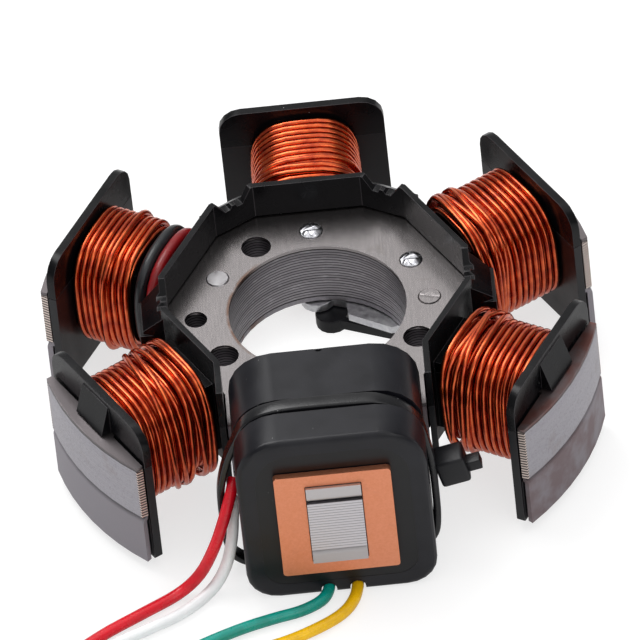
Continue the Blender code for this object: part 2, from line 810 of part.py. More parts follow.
def smooth_line(points, steps, closed=False):
    """A Catmull-Rom curve through points of any dimension, read at equal parameters."""
    vectors = [Vector(p) for p in points]
    count = len(vectors)
    line = []
    spans = count if closed else count - 1
    for i in range(spans):
        before = vectors[(i - 1) % count] if closed or i > 0 else 2 * vectors[0] - vectors[1]
        start = vectors[i]
        end = vectors[(i + 1) % count]
        last = 2 * vectors[-1] - vectors[-2]
        after = vectors[(i + 2) % count] if closed or i + 2 < count else last
        for j in range(steps):
            u = j / steps
            line.append(0.5 * (2 * start + (end - before) * u
                               + (2 * before - 5 * start + 4 * end - after) * u * u
                               + (3 * start - before - 3 * end + after) * u**3))
    if not closed:
        line.append(vectors[-1])
    return line


def tie_line():
    """The strap's middle line, once round the case and the two leads at its left."""
    half = case_width / 2
    points = [(-half - x * MM, case_height - z * MM) for x, z in tie_left_above]
    points += [(-half - x * MM, z * MM) for x, z in tie_left_below]
    points += [(half + x * MM, z * MM) for x, z in tie_right_below]
    points += [(half + x * MM, case_height - z * MM) for x, z in tie_right_above]
    return smooth_line(points, lead_steps, closed=True)


def cable_tie(finish):
    """Nylon tie in one piece: a strap round the case and its leads, a head and a cut tail."""
    line = tie_line()
    near = tie_groove_place - tie_width / 2
    far = near + tie_width
    outer, inner = [], []
    for i, point in enumerate(line):
        along = (line[(i + 1) % len(line)] - line[i - 1]).normalized()
        normal = Vector((along.y, -along.x))
        outer.append(tuple(point + normal * tie_thickness / 2))
        inner.append(tuple(point - normal * tie_thickness / 2))
    strap = upright("cable_tie", outer, near, far, ignition_angle, finish)
    cut(strap, upright("inside_cutter", inner, near - overshoot, far + overshoot, ignition_angle))
    size = Vector((tie_head_width, tie_head_depth, tie_head_height)) / 2
    head = box("head", -size, size)
    side = tie_width / 2
    tail = box("tail", (0, -side, -tie_thickness), (tie_tail_reach, side, tie_thickness))
    shape = bmesh.new()
    shape.from_mesh(head.data)
    bmesh.ops.bevel(shape, geom=shape.edges, offset=tie_head_chamfer, segments=1, affect="EDGES")
    shape.to_mesh(head.data)
    shape.free()
    place = Vector((case_width / 2 + tie_head_out, tie_head_back - tie_groove_place, tie_head_level))
    for piece, tilt in ((head, tie_head_tilt), (tail, tie_tail_tilt)):
        piece.data.transform(Matrix.Translation(place) @ Matrix.Rotation(math.radians(tilt), 4, "Y"))
    join(strap, head, tail)
    return smooth_by_angle(strap)


def rivet(name, angle, head_height, held_below, finish):
    """Rivet through the pack: an upper head in the top plate, a shank and a lower head."""
    head_seat = lamination_top + gap
    crown = core_top + head_height
    rim = crown - head_height / 2
    lower = core_bottom - held_below - gap
    foot = lower - rivet_foot_height
    profile = [(0, crown), (rivet_head_radius / 2, crown), (rivet_head_radius - rivet_chamfer, rim),
               (rivet_head_radius, rim - rivet_chamfer), (rivet_head_radius, head_seat),
               (rivet_shank_radius, head_seat), (rivet_shank_radius, lower), (rivet_foot_radius, lower),
               (rivet_foot_radius, foot + rivet_chamfer), (rivet_head_radius, foot), (0, foot)]
    return smooth_by_angle(turned(name, profile, polar(angle, mounting_circle_radius), rivet_steps, finish))


# Inner edges of the bracket and of the clip's arm: angles round the bore, and millimetres outside it
bracket_edge = ((72.0, 0.06), (66.7, -2.87), (30.5, -1.33), (27.9, 0.34))
clip_arm_edge = ((76.3, -2.84), (32.8, -0.74), (34.8, 0.09), (75.0, -1.63))
bracket_sweep = (18, 99)
bracket_lobe_sweep = (170, 325)


def lead_bracket(finish):
    """Zinc-plated plate under the yoke, held by two rivets, its inner edge showing in the bore."""
    high = core_bottom - gap
    low = high - bracket_thickness
    outline = arc((0, 0), mounting_circle_radius + bracket_overhang, *bracket_sweep, arc_steps)
    lobe = polar(90, bore_radius + bracket_lobe_setback)
    outline += arc(lobe, bracket_lobe_radius, *bracket_lobe_sweep, corner_steps + 2)
    outline += [polar(angle, bore_radius + d * MM) for angle, d in bracket_edge]
    plate = prism("lead_bracket", outline, low, high, finish)
    holes = []
    for angle in domed_rivet_angles:
        place = polar(angle, mounting_circle_radius)
        radius = rivet_shank_radius + gap
        holes.append(turned_pin("hole_cutter", radius, place, low - overshoot, high + overshoot,
                                rivet_steps))
    return smooth_by_angle(cut(plate, *holes))


def lead_clip(finish):
    """Black clip under the bracket: a round boss and a thin arm along the bracket's edge."""
    high = core_bottom - 2 * gap - bracket_thickness
    low = high - clip_height
    centre = polar(clip_angle, bore_radius - clip_inset)
    clip = turned_pin("lead_clip", clip_boss_radius, centre, low, high, hole_steps, finish)
    arm = [polar(angle, bore_radius + d * MM) for angle, d in clip_arm_edge]
    return smooth_by_angle(join(clip, prism("arm", arm, low + clip_arm_drop, high - gap / 3)))


def cord(name, points, diameter, steps, finish):
    """A lead as a tube along a smooth curve through its route's points."""
    curve = bpy.data.curves.new(name, "CURVE")
    curve.dimensions = "3D"
    curve.bevel_depth = diameter / 2
    curve.bevel_resolution = 2
    curve.use_fill_caps = True
    line = smooth_line(points, steps)
    spline = curve.splines.new("POLY")
    spline.points.add(len(line) - 1)
    for point, place in zip(spline.points, line):
        point.co = (*place, 1.0)
    thing = bpy.data.objects.new(name, curve)
    bpy.context.scene.collection.objects.link(thing)
    curve.materials.append(finish)
    return thing


def link_lead(name, place, finish):
    """A covered lead looped once over the back left bobbin, its ends tucked under the yoke."""
    half = sleeve_half_width + gap + lead_diameter / 2 + link_slack
    high = roof_top + gap + lead_diameter / 2 + link_slack
    low = floor_bottom - gap - lead_diameter / 2
    corner = link_corner_radius
    outline = rounded_outline(-half, half, low, high, corner, corner, corner_steps)
    opened = outline[-2:] + outline[:-3]
    points = [(*polar(linked_pole, place, t), z) for t, z in opened]
    return cord(name, points, lead_diameter, 1, finish)


# Routes of the four free leads, in millimetres: to the side, out from the case's face, and up
lead_routes = {
    "lead_red": [
        (-17, -9.7, 20.3), (-17.7, -7.6, 18.9), (-19.5, -5.6, 14.4), (-21.7, -4.1, 9.4),
        (-24.6, -3.4, 4.3), (-28.7, -2.2, 1.3), (-35.3, 1.7, 1.15), (-42.6, 6.2, 1.15),
        (-50, 12.5, 1.15), (-55, 21, 1.15), (-56.5, 31, 1.15), (-55.2, 42, 1.15), (-52.5, 52, 2.6),
        (-51, 58, 3.4), (-51, 62.6, 3.4)],
    "lead_white": [
        (-17, -9.7, 16.3), (-17.7, -7.6, 14), (-18.4, -6, 9.6), (-20, -4.2, 4.8), (-23, -2, 1.5),
        (-28.2, 2.4, 1.15), (-34.4, 5.6, 1.15), (-42, 9.4, 1.15), (-48, 15.5, 1.15),
        (-51.6, 24, 1.15), (-52.4, 34, 1.15), (-50.4, 44, 1.15), (-47, 53, 2.6), (-45.6, 58, 3.4),
        (-45.6, 62.6, 3.4)],
    "lead_green": [
        (-2.6, -6.6, 1.15), (-2.6, -3, 1.15), (-2.7, 0.2, 1.15), (-4.2, 2.8, 1.15),
        (-7.8, 4.8, 1.15), (-12.6, 6, 1.15), (-19, 8, 1.15), (-27, 11.6, 1.15), (-35, 16.6, 1.15),
        (-42, 23.4, 1.15), (-46.2, 32, 1.15), (-47.6, 40, 3), (-49.6, 48, 6.4), (-50.9, 56.5, 8.4),
        (-51, 62.6, 8.4)],
    "lead_yellow": [
        (2.4, -6.6, 1.15), (2.4, -3, 1.15), (2.3, 0.2, 1.15), (1.4, 3.4, 1.15), (-0.7, 6.4, 1.15),
        (-4.6, 9.1, 1.15), (-11, 12, 1.15), (-20, 14.4, 1.15), (-29, 17.8, 1.15), (-37, 23.4, 1.15),
        (-42, 31.6, 1.15), (-44.6, 41, 2.4), (-45.4, 50.5, 6.6), (-45.6, 57.5, 8.4),
        (-45.6, 62.6, 8.4)],
}


def connector_places():
    """The four ways of the plug, as x and z."""
    return [(connector_centre + side * connector_pitch / 2, z) for z in connector_rows for side in (-1, 1)]


def connector_housing(finish):
    """Moulded four-way plug: sockets at its far end and lead holes towards the stator."""
    half = connector_width / 2
    corner = connector_corner_radius
    outline = rounded_outline(connector_centre - half, connector_centre + half, 0, connector_height,
                              corner, corner, corner_steps - 2)
    near = case_face + connector_reach
    far = near + connector_length
    housing = upright("connector_housing", outline, near, far, ignition_angle, finish)
    cutters = []
    side = socket_size / 2
    for x, z in connector_places():
        cutters.append(box("socket_cutter", (x - side, -far - overshoot, z - side),
                           (x + side, -near - socket_web, z + side)))
    return smooth_by_angle(cut(housing, *cutters))


def terminal(name, x, z, finish):
    """Brass tab in one socket of the plug, standing on the socket's end wall."""
    near = case_face + connector_reach + socket_web + gap / 3
    far = near + 0.7 * (connector_length - socket_web)
    half, low = 0.35 * socket_size, z - terminal_thickness / 2
    return box(name, (x - half, -far, low), (x + half, -near, low + terminal_thickness), finish)


def build():
    clear_scene()
    sheet = material("lamination_steel", (0.36, 0.34, 0.35), 0.45, 1.0)
    plate = material("end_plate_steel", (0.42, 0.40, 0.40), 0.42, 1.0)
    nylon = material("black_nylon", (0.022, 0.022, 0.025), 0.45)
    enamel = material("enamelled_copper", (0.45, 0.07, 0.02), 0.28, 0.9)
    fine_enamel = material("fine_enamelled_copper", (0.35, 0.06, 0.02), 0.35, 0.8)
    phenolic = material("black_case_plastic", (0.026, 0.026, 0.029), 0.4)
    resin = material("black_potting_resin", (0.024, 0.024, 0.027), 0.5)
    copper = material("bare_copper", (0.62, 0.26, 0.14), 0.4, 1.0)
    zinc = material("zinc_plate", (0.72, 0.73, 0.75), 0.3, 1.0)
    rivet_steel = material("rivet_steel", (0.55, 0.55, 0.56), 0.35, 1.0)
    milky = material("natural_nylon", (0.75, 0.73, 0.66), 0.45)
    brass = material("tinned_brass", (0.72, 0.62, 0.38), 0.3, 1.0)
    covers = {
        "lead_red": material("red_lead_cover", (0.64, 0.02, 0.03), 0.4),
        "lead_white": material("white_lead_cover", (0.75, 0.75, 0.76), 0.4),
        "lead_green": material("green_lead_cover", (0.0, 0.32, 0.19), 0.4),
        "lead_yellow": material("yellow_lead_cover", (0.75, 0.44, 0.01), 0.4),
        "link_lead_black": material("black_lead_cover", (0.02, 0.02, 0.022), 0.4),
        "link_lead_red": material("dark_red_lead_cover", (0.4, 0.01, 0.02), 0.4),
    }
    lamination_stack(sheet)
    top_end_plate(plate)
    bottom_end_plate(plate)
    upper_insulator(nylon)
    lower_insulator(nylon)
    for angle, name in pole_names.items():
        start = short_winding_start if angle == linked_pole else winding_start
        winding("winding_" + name, angle, start, enamel)
    coil_case(phenolic)
    coil_bobbin(nylon)
    ignition_winding(fine_enamel)
    potting_resin(resin)
    copper_plate(copper)
    cable_tie(nylon)
    for angle in flat_rivet_angles:
        rivet("flat_rivet_%03d" % angle, angle, rivet_flat_height, 0.0, rivet_steel)
    for angle in domed_rivet_angles:
        held = bracket_thickness + gap
        rivet("domed_rivet_%03d" % angle, angle, rivet_dome_height, held, zinc)
    lead_bracket(zinc)
    lead_clip(nylon)
    link_lead("link_lead_red", link_place, covers["link_lead_red"])
    link_lead("link_lead_black", link_place + link_spacing, covers["link_lead_black"])
    for name, route in lead_routes.items():
        points = [(x * MM, -case_face - out * MM, z * MM) for x, out, z in route]
        cord(name, points, lead_diameter, lead_steps, covers[name])
    connector_housing(milky)
    for number, (x, z) in enumerate(connector_places(), 1):
        terminal("terminal_%d" % number, x, z, brass)


build()
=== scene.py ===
"""Looks of a wound stator: an open ring of coils on a sheet steel core, with a potted ignition coil."""

import math
import random

import bpy
from mathutils import Matrix, Vector


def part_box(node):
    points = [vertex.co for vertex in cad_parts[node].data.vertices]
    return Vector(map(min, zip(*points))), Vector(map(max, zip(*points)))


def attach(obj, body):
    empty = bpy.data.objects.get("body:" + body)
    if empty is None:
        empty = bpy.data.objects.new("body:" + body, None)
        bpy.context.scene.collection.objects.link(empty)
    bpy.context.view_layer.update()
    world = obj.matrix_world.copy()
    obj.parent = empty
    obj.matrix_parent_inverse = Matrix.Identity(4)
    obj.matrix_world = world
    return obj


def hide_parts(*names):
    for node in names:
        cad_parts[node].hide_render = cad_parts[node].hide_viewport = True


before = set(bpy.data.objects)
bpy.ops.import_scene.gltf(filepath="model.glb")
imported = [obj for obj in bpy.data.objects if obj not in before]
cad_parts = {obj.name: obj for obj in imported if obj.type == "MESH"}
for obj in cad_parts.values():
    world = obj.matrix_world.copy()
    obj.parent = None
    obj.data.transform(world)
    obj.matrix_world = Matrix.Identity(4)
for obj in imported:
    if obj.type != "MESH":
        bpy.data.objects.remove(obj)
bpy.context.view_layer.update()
bpy.ops.object.select_all(action="DESELECT")

MM = 0.001
random.seed(11)


# Helpers for shapes

MERGE_DISTANCE = 0.002 * MM
NEAR_TOP = 0.1 * MM
SHARP_FROM = 40


def only(thing):
    """Makes one object the selected and active one."""
    bpy.ops.object.select_all(action="DESELECT")
    thing.select_set(True)
    bpy.context.view_layer.objects.active = thing
    return thing


def apply_modifier(thing, kind, **settings):
    """Adds a modifier with its settings and applies it."""
    only(thing)
    made = thing.modifiers.new(kind.lower(), kind)
    for key, value in settings.items():
        setattr(made, key, value)
    bpy.ops.object.modifier_apply(modifier=made.name)
    return thing


def smooth(thing, degrees):
    """Smooth shading that breaks at the sharp edges."""
    only(thing)
    bpy.ops.object.shade_smooth_by_angle(angle=math.radians(degrees))
    return thing


def merged_copy(node, name):
    """A copy of a CAD node with its loose triangles merged into one skin."""
    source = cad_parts[node]
    thing = bpy.data.objects.new(name, source.data.copy())
    bpy.context.scene.collection.objects.link(thing)
    thing.data.materials.clear()
    only(thing)
    bpy.ops.object.mode_set(mode="EDIT")
    bpy.ops.mesh.select_all(action="SELECT")
    bpy.ops.mesh.remove_doubles(threshold=MERGE_DISTANCE)
    bpy.ops.object.mode_set(mode="OBJECT")
    return thing


def dress(thing, slot_name, *materials, node=None):
    """Gives a finished piece its materials and its body, and hides the CAD node that it stands for."""
    for made in materials:
        thing.data.materials.append(made)
    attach(thing, "root")
    if node:
        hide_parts(node)
    return thing


def refine(node, slot_name, made, edge_made=None, width=0.25, segments=2, limit=30, reshape=None):
    """A CAD node with eased edges, so that they catch the light as moulded or punched edges do.
    Reshape, where given, moves each corner of the copy first. The width is in millimetres."""
    thing = merged_copy(node, node + "_finished")
    if reshape:
        for corner in thing.data.vertices:
            corner.co = reshape(corner.co.copy())
    settings = dict(width=width * MM, segments=segments, limit_method="ANGLE",
                    angle_limit=math.radians(limit), use_clamp_overlap=True, miter_outer="MITER_ARC")
    thing.data.materials.append(made)
    if edge_made:
        thing.data.materials.append(edge_made)
        settings["material"] = 1
    apply_modifier(thing, "BEVEL", **settings)
    smooth(thing, SHARP_FROM)
    apply_modifier(thing, "WEIGHTED_NORMAL", weight=100, keep_sharp=True)
    return dress(thing, slot_name, node=node)


def smooth_line(points, steps):
    """A Catmull-Rom curve through points, read at equal parameters."""
    vectors = [Vector(p) for p in points]
    line = []
    for i in range(len(vectors) - 1):
        start, end = vectors[i], vectors[i + 1]
        before = vectors[i - 1] if i > 0 else 2 * start - end
        after = vectors[i + 2] if i + 2 < len(vectors) else 2 * end - start
        for j in range(steps):
            u = j / steps
            line.append(0.5 * (2 * start + (end - before) * u
                               + (2 * before - 5 * start + 4 * end - after) * u * u
                               + (3 * start - before - 3 * end + after) * u**3))
    return line + [vectors[-1]]


def tube(name, lines, diameter, rounds, closed=False):
    """A round wire or lead along one or more lines of points, as a curve."""
    curve = bpy.data.curves.new(name, "CURVE")
    curve.dimensions = "3D"
    curve.bevel_depth = diameter / 2
    curve.bevel_resolution = rounds
    curve.use_fill_caps = True
    for line in lines:
        spline = curve.splines.new("POLY")
        spline.points.add(len(line) - 1)
        for point, place in zip(spline.points, line):
            point.co = (*place, 1)
        spline.use_cyclic_u = closed
        spline.use_smooth = True
    thing = bpy.data.objects.new(name, curve)
    bpy.context.scene.collection.objects.link(thing)
    return thing


def superellipse(a, half_width, half_height, power):
    """A point on a rounded rectangle that grows squarer with its power: to the side, and up."""
    side, rise = math.sin(a), -math.cos(a)
    return (math.copysign(abs(side) ** (2 / power), side) * half_width,
            math.copysign(abs(rise) ** (2 / power), rise) * half_height)


def as_mesh(thing):
    """The curve as a finished mesh."""
    only(thing)
    bpy.ops.object.convert(target="MESH")
    return thing


def polar(angle, d, t=0.0):
    """The point d out from the bore's axis at an angle in degrees, and t to the side."""
    a = math.radians(angle)
    return d * math.cos(a) - t * math.sin(a), d * math.sin(a) + t * math.cos(a)


# Helpers for materials. Patterns and reliefs are sized in millimetres.


def colour(code):
    """An sRGB hex colour as linear red, green, blue and alpha."""
    parts = [int(code[i:i + 2], 16) / 255 for i in (0, 2, 4)]
    return [p / 12.92 if p <= 0.04045 else ((p + 0.055) / 1.055) ** 2.4 for p in parts] + [1.0]


def grey(level):
    """A neutral colour of one linear level."""
    return (level, level, level, 1.0)


def add(tree, kind, inputs=None, **settings):
    """Adds one node, sets its options, and fills its inputs with values or links."""
    made = tree.nodes.new(kind)
    for key, value in settings.items():
        setattr(made, key, value)
    for key, value in (inputs or {}).items():
        if isinstance(value, bpy.types.NodeSocket):
            tree.links.new(value, made.inputs[key])
        else:
            made.inputs[key].default_value = value
    return made


def new_material(name, **constants):
    """A material with one Principled shader, and the place on the object in millimetres."""
    made = bpy.data.materials.new(name)
    made.use_nodes = True
    tree = made.node_tree
    tree.nodes.clear()
    shader = add(tree, "ShaderNodeBsdfPrincipled",
                 {key.replace("_", " "): value for key, value in constants.items()})
    add(tree, "ShaderNodeOutputMaterial", {"Surface": shader.outputs[0]})
    place = add(tree, "ShaderNodeTexCoord").outputs["Object"]
    scaled = add(tree, "ShaderNodeVectorMath", {0: place, "Scale": 1 / MM}, operation="SCALE")
    return made, tree, shader, scaled.outputs[0]


def stretched(tree, place, x, y, z):
    """The place with each axis scaled, for streaks."""
    return add(tree, "ShaderNodeMapping", {"Vector": place, "Scale": (x, y, z)}).outputs[0]


def noise(tree, place, size, detail=3.0, roughness=0.55):
    """Noise whose main grain is about size millimetres, from 0 to 1."""
    return add(tree, "ShaderNodeTexNoise", {"Vector": place, "Scale": 1 / size, "Detail": detail,
                                            "Roughness": roughness}).outputs["Fac"]


def ramp(tree, value, low, high, low_out=0.0, high_out=1.0):
    """A value stretched from one range to another and held inside it."""
    return add(tree, "ShaderNodeMapRange", {"Value": value, "From Min": low, "From Max": high,
                                            "To Min": low_out, "To Max": high_out}).outputs[0]


def blend(tree, share, first, second):
    """Two colours mixed by a share."""
    made = add(tree, "ShaderNodeMix", {"Factor": share}, data_type="RGBA")
    for socket, value in ((made.inputs[6], first), (made.inputs[7], second)):
        if isinstance(value, bpy.types.NodeSocket):
            tree.links.new(value, socket)
        else:
            socket.default_value = value
    return made.outputs[2]


def bump(tree, shader, height, distance, strength=1.0):
    """Relief of a given depth in millimetres."""
    made = add(tree, "ShaderNodeBump", {"Height": height, "Distance": distance * MM, "Strength": strength})
    tree.links.new(made.outputs[0], shader.inputs["Normal"])


DUST_APART = 2.5
DUST_EDGE = (0.034, 0.022)


def moulded_nylon(name, dark, light, rough, grain=0.35, ior=1.4):
    """Black glass-filled nylon, injection moulded: satin, with a fine grain, faint flow marks, and
    a pale speck of dust every few millimetres."""
    made, tree, shader, place = new_material(name, IOR=ior)
    flow = noise(tree, place, 6.0, 2.0)
    fine = noise(tree, place, grain, 2.0)
    dust = add(tree, "ShaderNodeTexVoronoi", {"Vector": place, "Scale": 1 / DUST_APART}).outputs["Distance"]
    skin = blend(tree, ramp(tree, flow, 0.35, 0.7), colour(dark), colour(light))
    skin = blend(tree, ramp(tree, dust, *DUST_EDGE), skin, colour("9a9a9c"))
    tree.links.new(skin, shader.inputs["Base Color"])
    tree.links.new(ramp(tree, flow, 0.3, 0.7, rough - 0.05, rough + 0.08), shader.inputs["Roughness"])
    bump(tree, shader, fine, 0.02, 0.5)
    return made


def from_axis(tree, place):
    """How far a place is out from the bore's axis, in millimetres."""
    flat = add(tree, "ShaderNodeVectorMath", {0: place, 1: (1, 1, 0)}, operation="MULTIPLY").outputs[0]
    return add(tree, "ShaderNodeVectorMath", {0: flat}, operation="LENGTH").outputs["Value"]


def along(tree, place, axis):
    """One coordinate of a place, in millimetres."""
    return add(tree, "ShaderNodeSeparateXYZ", {0: place}).outputs[axis]


def combine(tree, operation, first, second):
    """One value worked out from two."""
    return add(tree, "ShaderNodeMath", {0: first, 1: second}, operation=operation).outputs[0]


# Where the steel's finish changes, in millimetres: out from the bore's axis, to the side,
# towards the front (the tab at the end of the tooth) and towards the right front pole
POLES_BEGIN = (30, 32)
BORE_RIM = (16.1, 15.7)
RUSTY_RIM = (-9, -12)
TAB_BEGINS = (-44, -45)
RUSTY_POLE = (50, 56)


def brushed_steel(name, light, dark, stain, streak, pole, rough, rust):
    """Punched steel sheet, brushed and a little tarnished: fine streaks one way, brown-grey blotches.
    The poles are duller and have a tone of their own: tarnish, and on the top plate painted
    shade as well. The tab at the front is cleaner.
    Rust shows on the right front pole and along the left of the bore's edge."""
    made, tree, shader, place = new_material(name, Metallic=1.0)
    lines = noise(tree, stretched(tree, place, *streak), 0.5, 4.0, 0.7)
    cloud = noise(tree, place, 5.5, 3.0)
    x, y = along(tree, place, "X"), along(tree, place, "Y")
    out = from_axis(tree, place)
    steel = blend(tree, ramp(tree, lines, 0.35, 0.7), colour(dark), colour(light))
    steel = blend(tree, ramp(tree, cloud, 0.62, 0.78, 0.0, 0.5), steel, colour(stain))

    # The poles' own tone: tarnish, and on the top plate painted shade as well
    poles = ramp(tree, out, *POLES_BEGIN)
    behind_tab = ramp(tree, y, *TAB_BEGINS[::-1], 0.0, 0.9)
    steel = blend(tree, combine(tree, "MULTIPLY", poles, behind_tab), steel, colour(pole))
    rusty = combine(tree, "MULTIPLY", ramp(tree, combine(tree, "SUBTRACT", x, y), *RUSTY_POLE),
                    ramp(tree, cloud, 0.4, 0.6, 0.25 * rust, rust))
    steel = blend(tree, rusty, steel, colour("6e4038"))
    rim = combine(tree, "MULTIPLY", ramp(tree, out, *BORE_RIM, 0.0, 0.7),
                  combine(tree, "MULTIPLY", ramp(tree, x, *RUSTY_RIM), ramp(tree, cloud, 0.4, 0.5)))
    steel = blend(tree, rim, steel, colour("7a5236"))
    steel = blend(tree, ramp(tree, y, *TAB_BEGINS), steel, colour("cbc7c8"))
    tree.links.new(steel, shader.inputs["Base Color"])

    grain = ramp(tree, lines, 0.3, 0.75, rough, rough + 0.03)
    duller = combine(tree, "MULTIPLY", poles, 0.2)
    tree.links.new(combine(tree, "ADD", grain, duller), shader.inputs["Roughness"])
    return made


# Where the sheets' edges change, in millimetres out from the axis, and above the lower plate,
# where the groove gets painted shade
BORE_AND_HOLES_END = (24, 25)
SHOES_BEGIN = (45, 46)
GROOVE_SHADE_OVER_PLATE = (0.3, 0.1)
HALF_TICK = 0.3
TICK_SLANT = 20.0


def pole_ticks(tree, level, place):
    """Where the tips of the poles are, and the light slanting ticks of the sheets' burrs there."""
    turn = combine(tree, "ARCTAN2", along(tree, place, "Y"), along(tree, place, "X"))
    half_step = math.radians(30)
    from_pole = combine(tree, "PINGPONG", combine(tree, "ADD", turn, half_step), half_step)
    tip = combine(tree, "MULTIPLY", ramp(tree, from_pole, *POLE_TIP),
                  ramp(tree, from_axis(tree, place), *SHOES_BEGIN))
    slant = combine(tree, "ADD", level, combine(tree, "MULTIPLY", from_pole, TICK_SLANT))
    tick = ramp(tree, combine(tree, "PINGPONG", slant, HALF_TICK), 0.1, 0.2)
    return tip, blend(tree, tick, colour("4b4448"), colour("e8d9cf"))


def sheet_edges():
    """Punched edges of electrical steel sheets, ground over at the poles: fine pits and specks.
    Lined and dark in the bore and the holes, with glints; clean at the front tooth; darkened by
    painted shade in the groove over the lower plate; and burred at the tips of the poles."""
    made, tree, shader, place = new_material("electrical_steel_sheets", Metallic=1.0)
    level = combine(tree, "SUBTRACT", along(tree, place, "Z"), STACK_LOW)
    number = combine(tree, "SNAP", level, SHEET_PITCH / MM)
    shade = add(tree, "ShaderNodeTexWhiteNoise", {"W": number}, noise_dimensions="1D").outputs["Value"]
    seam = combine(tree, "PINGPONG", level, SHEET_PITCH / MM / 2)
    speckle = noise(tree, place, 0.35, 3.0, 0.7)
    cloud = noise(tree, place, 4.0, 2.0)

    ground = blend(tree, shade, colour("a9a6ad"), colour("aeabb1"))
    ground = blend(tree, ramp(tree, speckle, 0.52, 0.8, 0.0, 0.5), ground, colour("7a757a"))
    ground = blend(tree, ramp(tree, cloud, 0.6, 0.8, 0.0, 0.3), ground, colour("8a7a72"))
    # Painted shade: the sheets' edges darkened in the groove just over the lower plate
    ground = blend(tree, ramp(tree, level, *GROOVE_SHADE_OVER_PLATE, 0.0, 0.8), ground, colour("4a474b"))

    glint = ramp(tree, noise(tree, stretched(tree, place, 1, 1, 3), 1.8, 2.0), 0.55, 0.8)
    lit = blend(tree, glint, blend(tree, shade, colour("989498"), colour("aca8ac")), colour("c4c0c4"))
    lined = blend(tree, ramp(tree, seam, 0.02, 0.14), colour("343234"), lit)
    tooth = blend(tree, ramp(tree, seam, 0.0, 0.1), colour("8f8c90"), colour("d6d3d7"))

    steel = blend(tree, ramp(tree, from_axis(tree, place), *BORE_AND_HOLES_END), lined, ground)
    steel = blend(tree, ramp(tree, along(tree, place, "Y"), *TAB_BEGINS), steel, tooth)
    tip, ticks = pole_ticks(tree, level, place)
    steel = blend(tree, tip, steel, ticks)
    tree.links.new(steel, shader.inputs["Base Color"])
    tree.links.new(ramp(tree, speckle, 0.3, 0.7, 0.34, 0.52), shader.inputs["Roughness"])
    bump(tree, shader, speckle, 0.02, 0.5)
    return made


def enamelled_copper(name, dark, light):
    """Round copper wire in clear red-brown enamel: deep orange metal under a glossy coat."""
    made, tree, shader, place = new_material(name, Metallic=1.0, Roughness=0.24,
                                             Coat_Weight=0.5, Coat_Roughness=0.12, Coat_IOR=1.6)
    cloud = noise(tree, place, 2.2, 3.0)
    metal = blend(tree, ramp(tree, cloud, 0.3, 0.7), colour(dark), colour(light))
    tree.links.new(metal, shader.inputs["Base Color"])
    bump(tree, shader, noise(tree, place, 1.6, 1.0), 0.03, 0.2)
    return made


def bare_copper():
    """Copper sheet, brushed and gone dull: matt salmon, with fine specks and darker patches."""
    made, tree, shader, place = new_material("bare_copper_sheet", Metallic=1.0)
    specks = noise(tree, place, 0.4, 4.0, 0.7)
    cloud = noise(tree, place, 3.0, 3.0)
    metal = blend(tree, ramp(tree, specks, 0.35, 0.7), colour("e8956e"), colour("f2a482"))
    metal = blend(tree, ramp(tree, cloud, 0.6, 0.85, 0.0, 0.3), metal, colour("b87358"))
    tree.links.new(metal, shader.inputs["Base Color"])
    tree.links.new(ramp(tree, specks, 0.3, 0.7, 0.4, 0.55), shader.inputs["Roughness"])
    bump(tree, shader, specks, 0.02, 0.4)
    return made


def vinyl(name, main, shade, rough=0.24):
    """Extruded vinyl insulation of a lead: smooth and softly glossy, with faint dull marks."""
    made, tree, shader, place = new_material(name, IOR=1.52)
    cloud = noise(tree, place, 3.0, 3.0)
    tree.links.new(blend(tree, ramp(tree, cloud, 0.4, 0.75), colour(main), colour(shade)),
                   shader.inputs["Base Color"])
    tree.links.new(ramp(tree, cloud, 0.3, 0.7, rough - 0.04, rough + 0.12), shader.inputs["Roughness"])
    bump(tree, shader, noise(tree, place, 1.2, 2.0), 0.02, 0.3)
    return made


def plated_steel(name, light, dark, rough, size=1.2):
    """Zinc-plated or bright steel, or tinned brass: silvery, a little cloudy, with faint dents."""
    made, tree, shader, place = new_material(name, Metallic=1.0)
    cloud = noise(tree, place, size, 3.0)
    tree.links.new(blend(tree, ramp(tree, cloud, 0.35, 0.7), colour(dark), colour(light)),
                   shader.inputs["Base Color"])
    tree.links.new(ramp(tree, cloud, 0.3, 0.7, rough - 0.05, rough + 0.12), shader.inputs["Roughness"])
    bump(tree, shader, cloud, 0.03, 0.4)
    return made


# Camera, as the photograph was taken

AZIMUTH, ELEVATION, ROLL = (math.radians(a) for a in (0.99, 43.26, -6.42))
LOOK_AT = Vector((0.230, -3.202, 24.3)) * MM
CAMERA_DISTANCE = 2.8308
LENS, SENSOR = 919.6, 36.0


def make_camera():
    """A long lens from the front and above, rolled a little as the photograph is."""
    back = Vector((math.sin(AZIMUTH) * math.cos(ELEVATION), -math.cos(AZIMUTH) * math.cos(ELEVATION),
                   math.sin(ELEVATION)))
    right = Vector((math.cos(AZIMUTH), math.sin(AZIMUTH), 0))
    up = back.cross(right)
    rolled_right = math.cos(ROLL) * right + math.sin(ROLL) * up
    rolled_up = math.cos(ROLL) * up - math.sin(ROLL) * right
    bpy.ops.object.camera_add()
    camera = bpy.context.object
    camera.name = "camera"
    camera.data.lens = LENS
    camera.data.sensor_width = SENSOR
    camera.data.clip_end = 20
    turn = Matrix((rolled_right, rolled_up, back)).transposed()
    camera.matrix_world = Matrix.Translation(LOOK_AT + back * CAMERA_DISTANCE) @ turn.to_4x4()
    bpy.context.scene.camera = camera


# Cords: four free leads from the coil to one connector. Their routes are in millimetres.

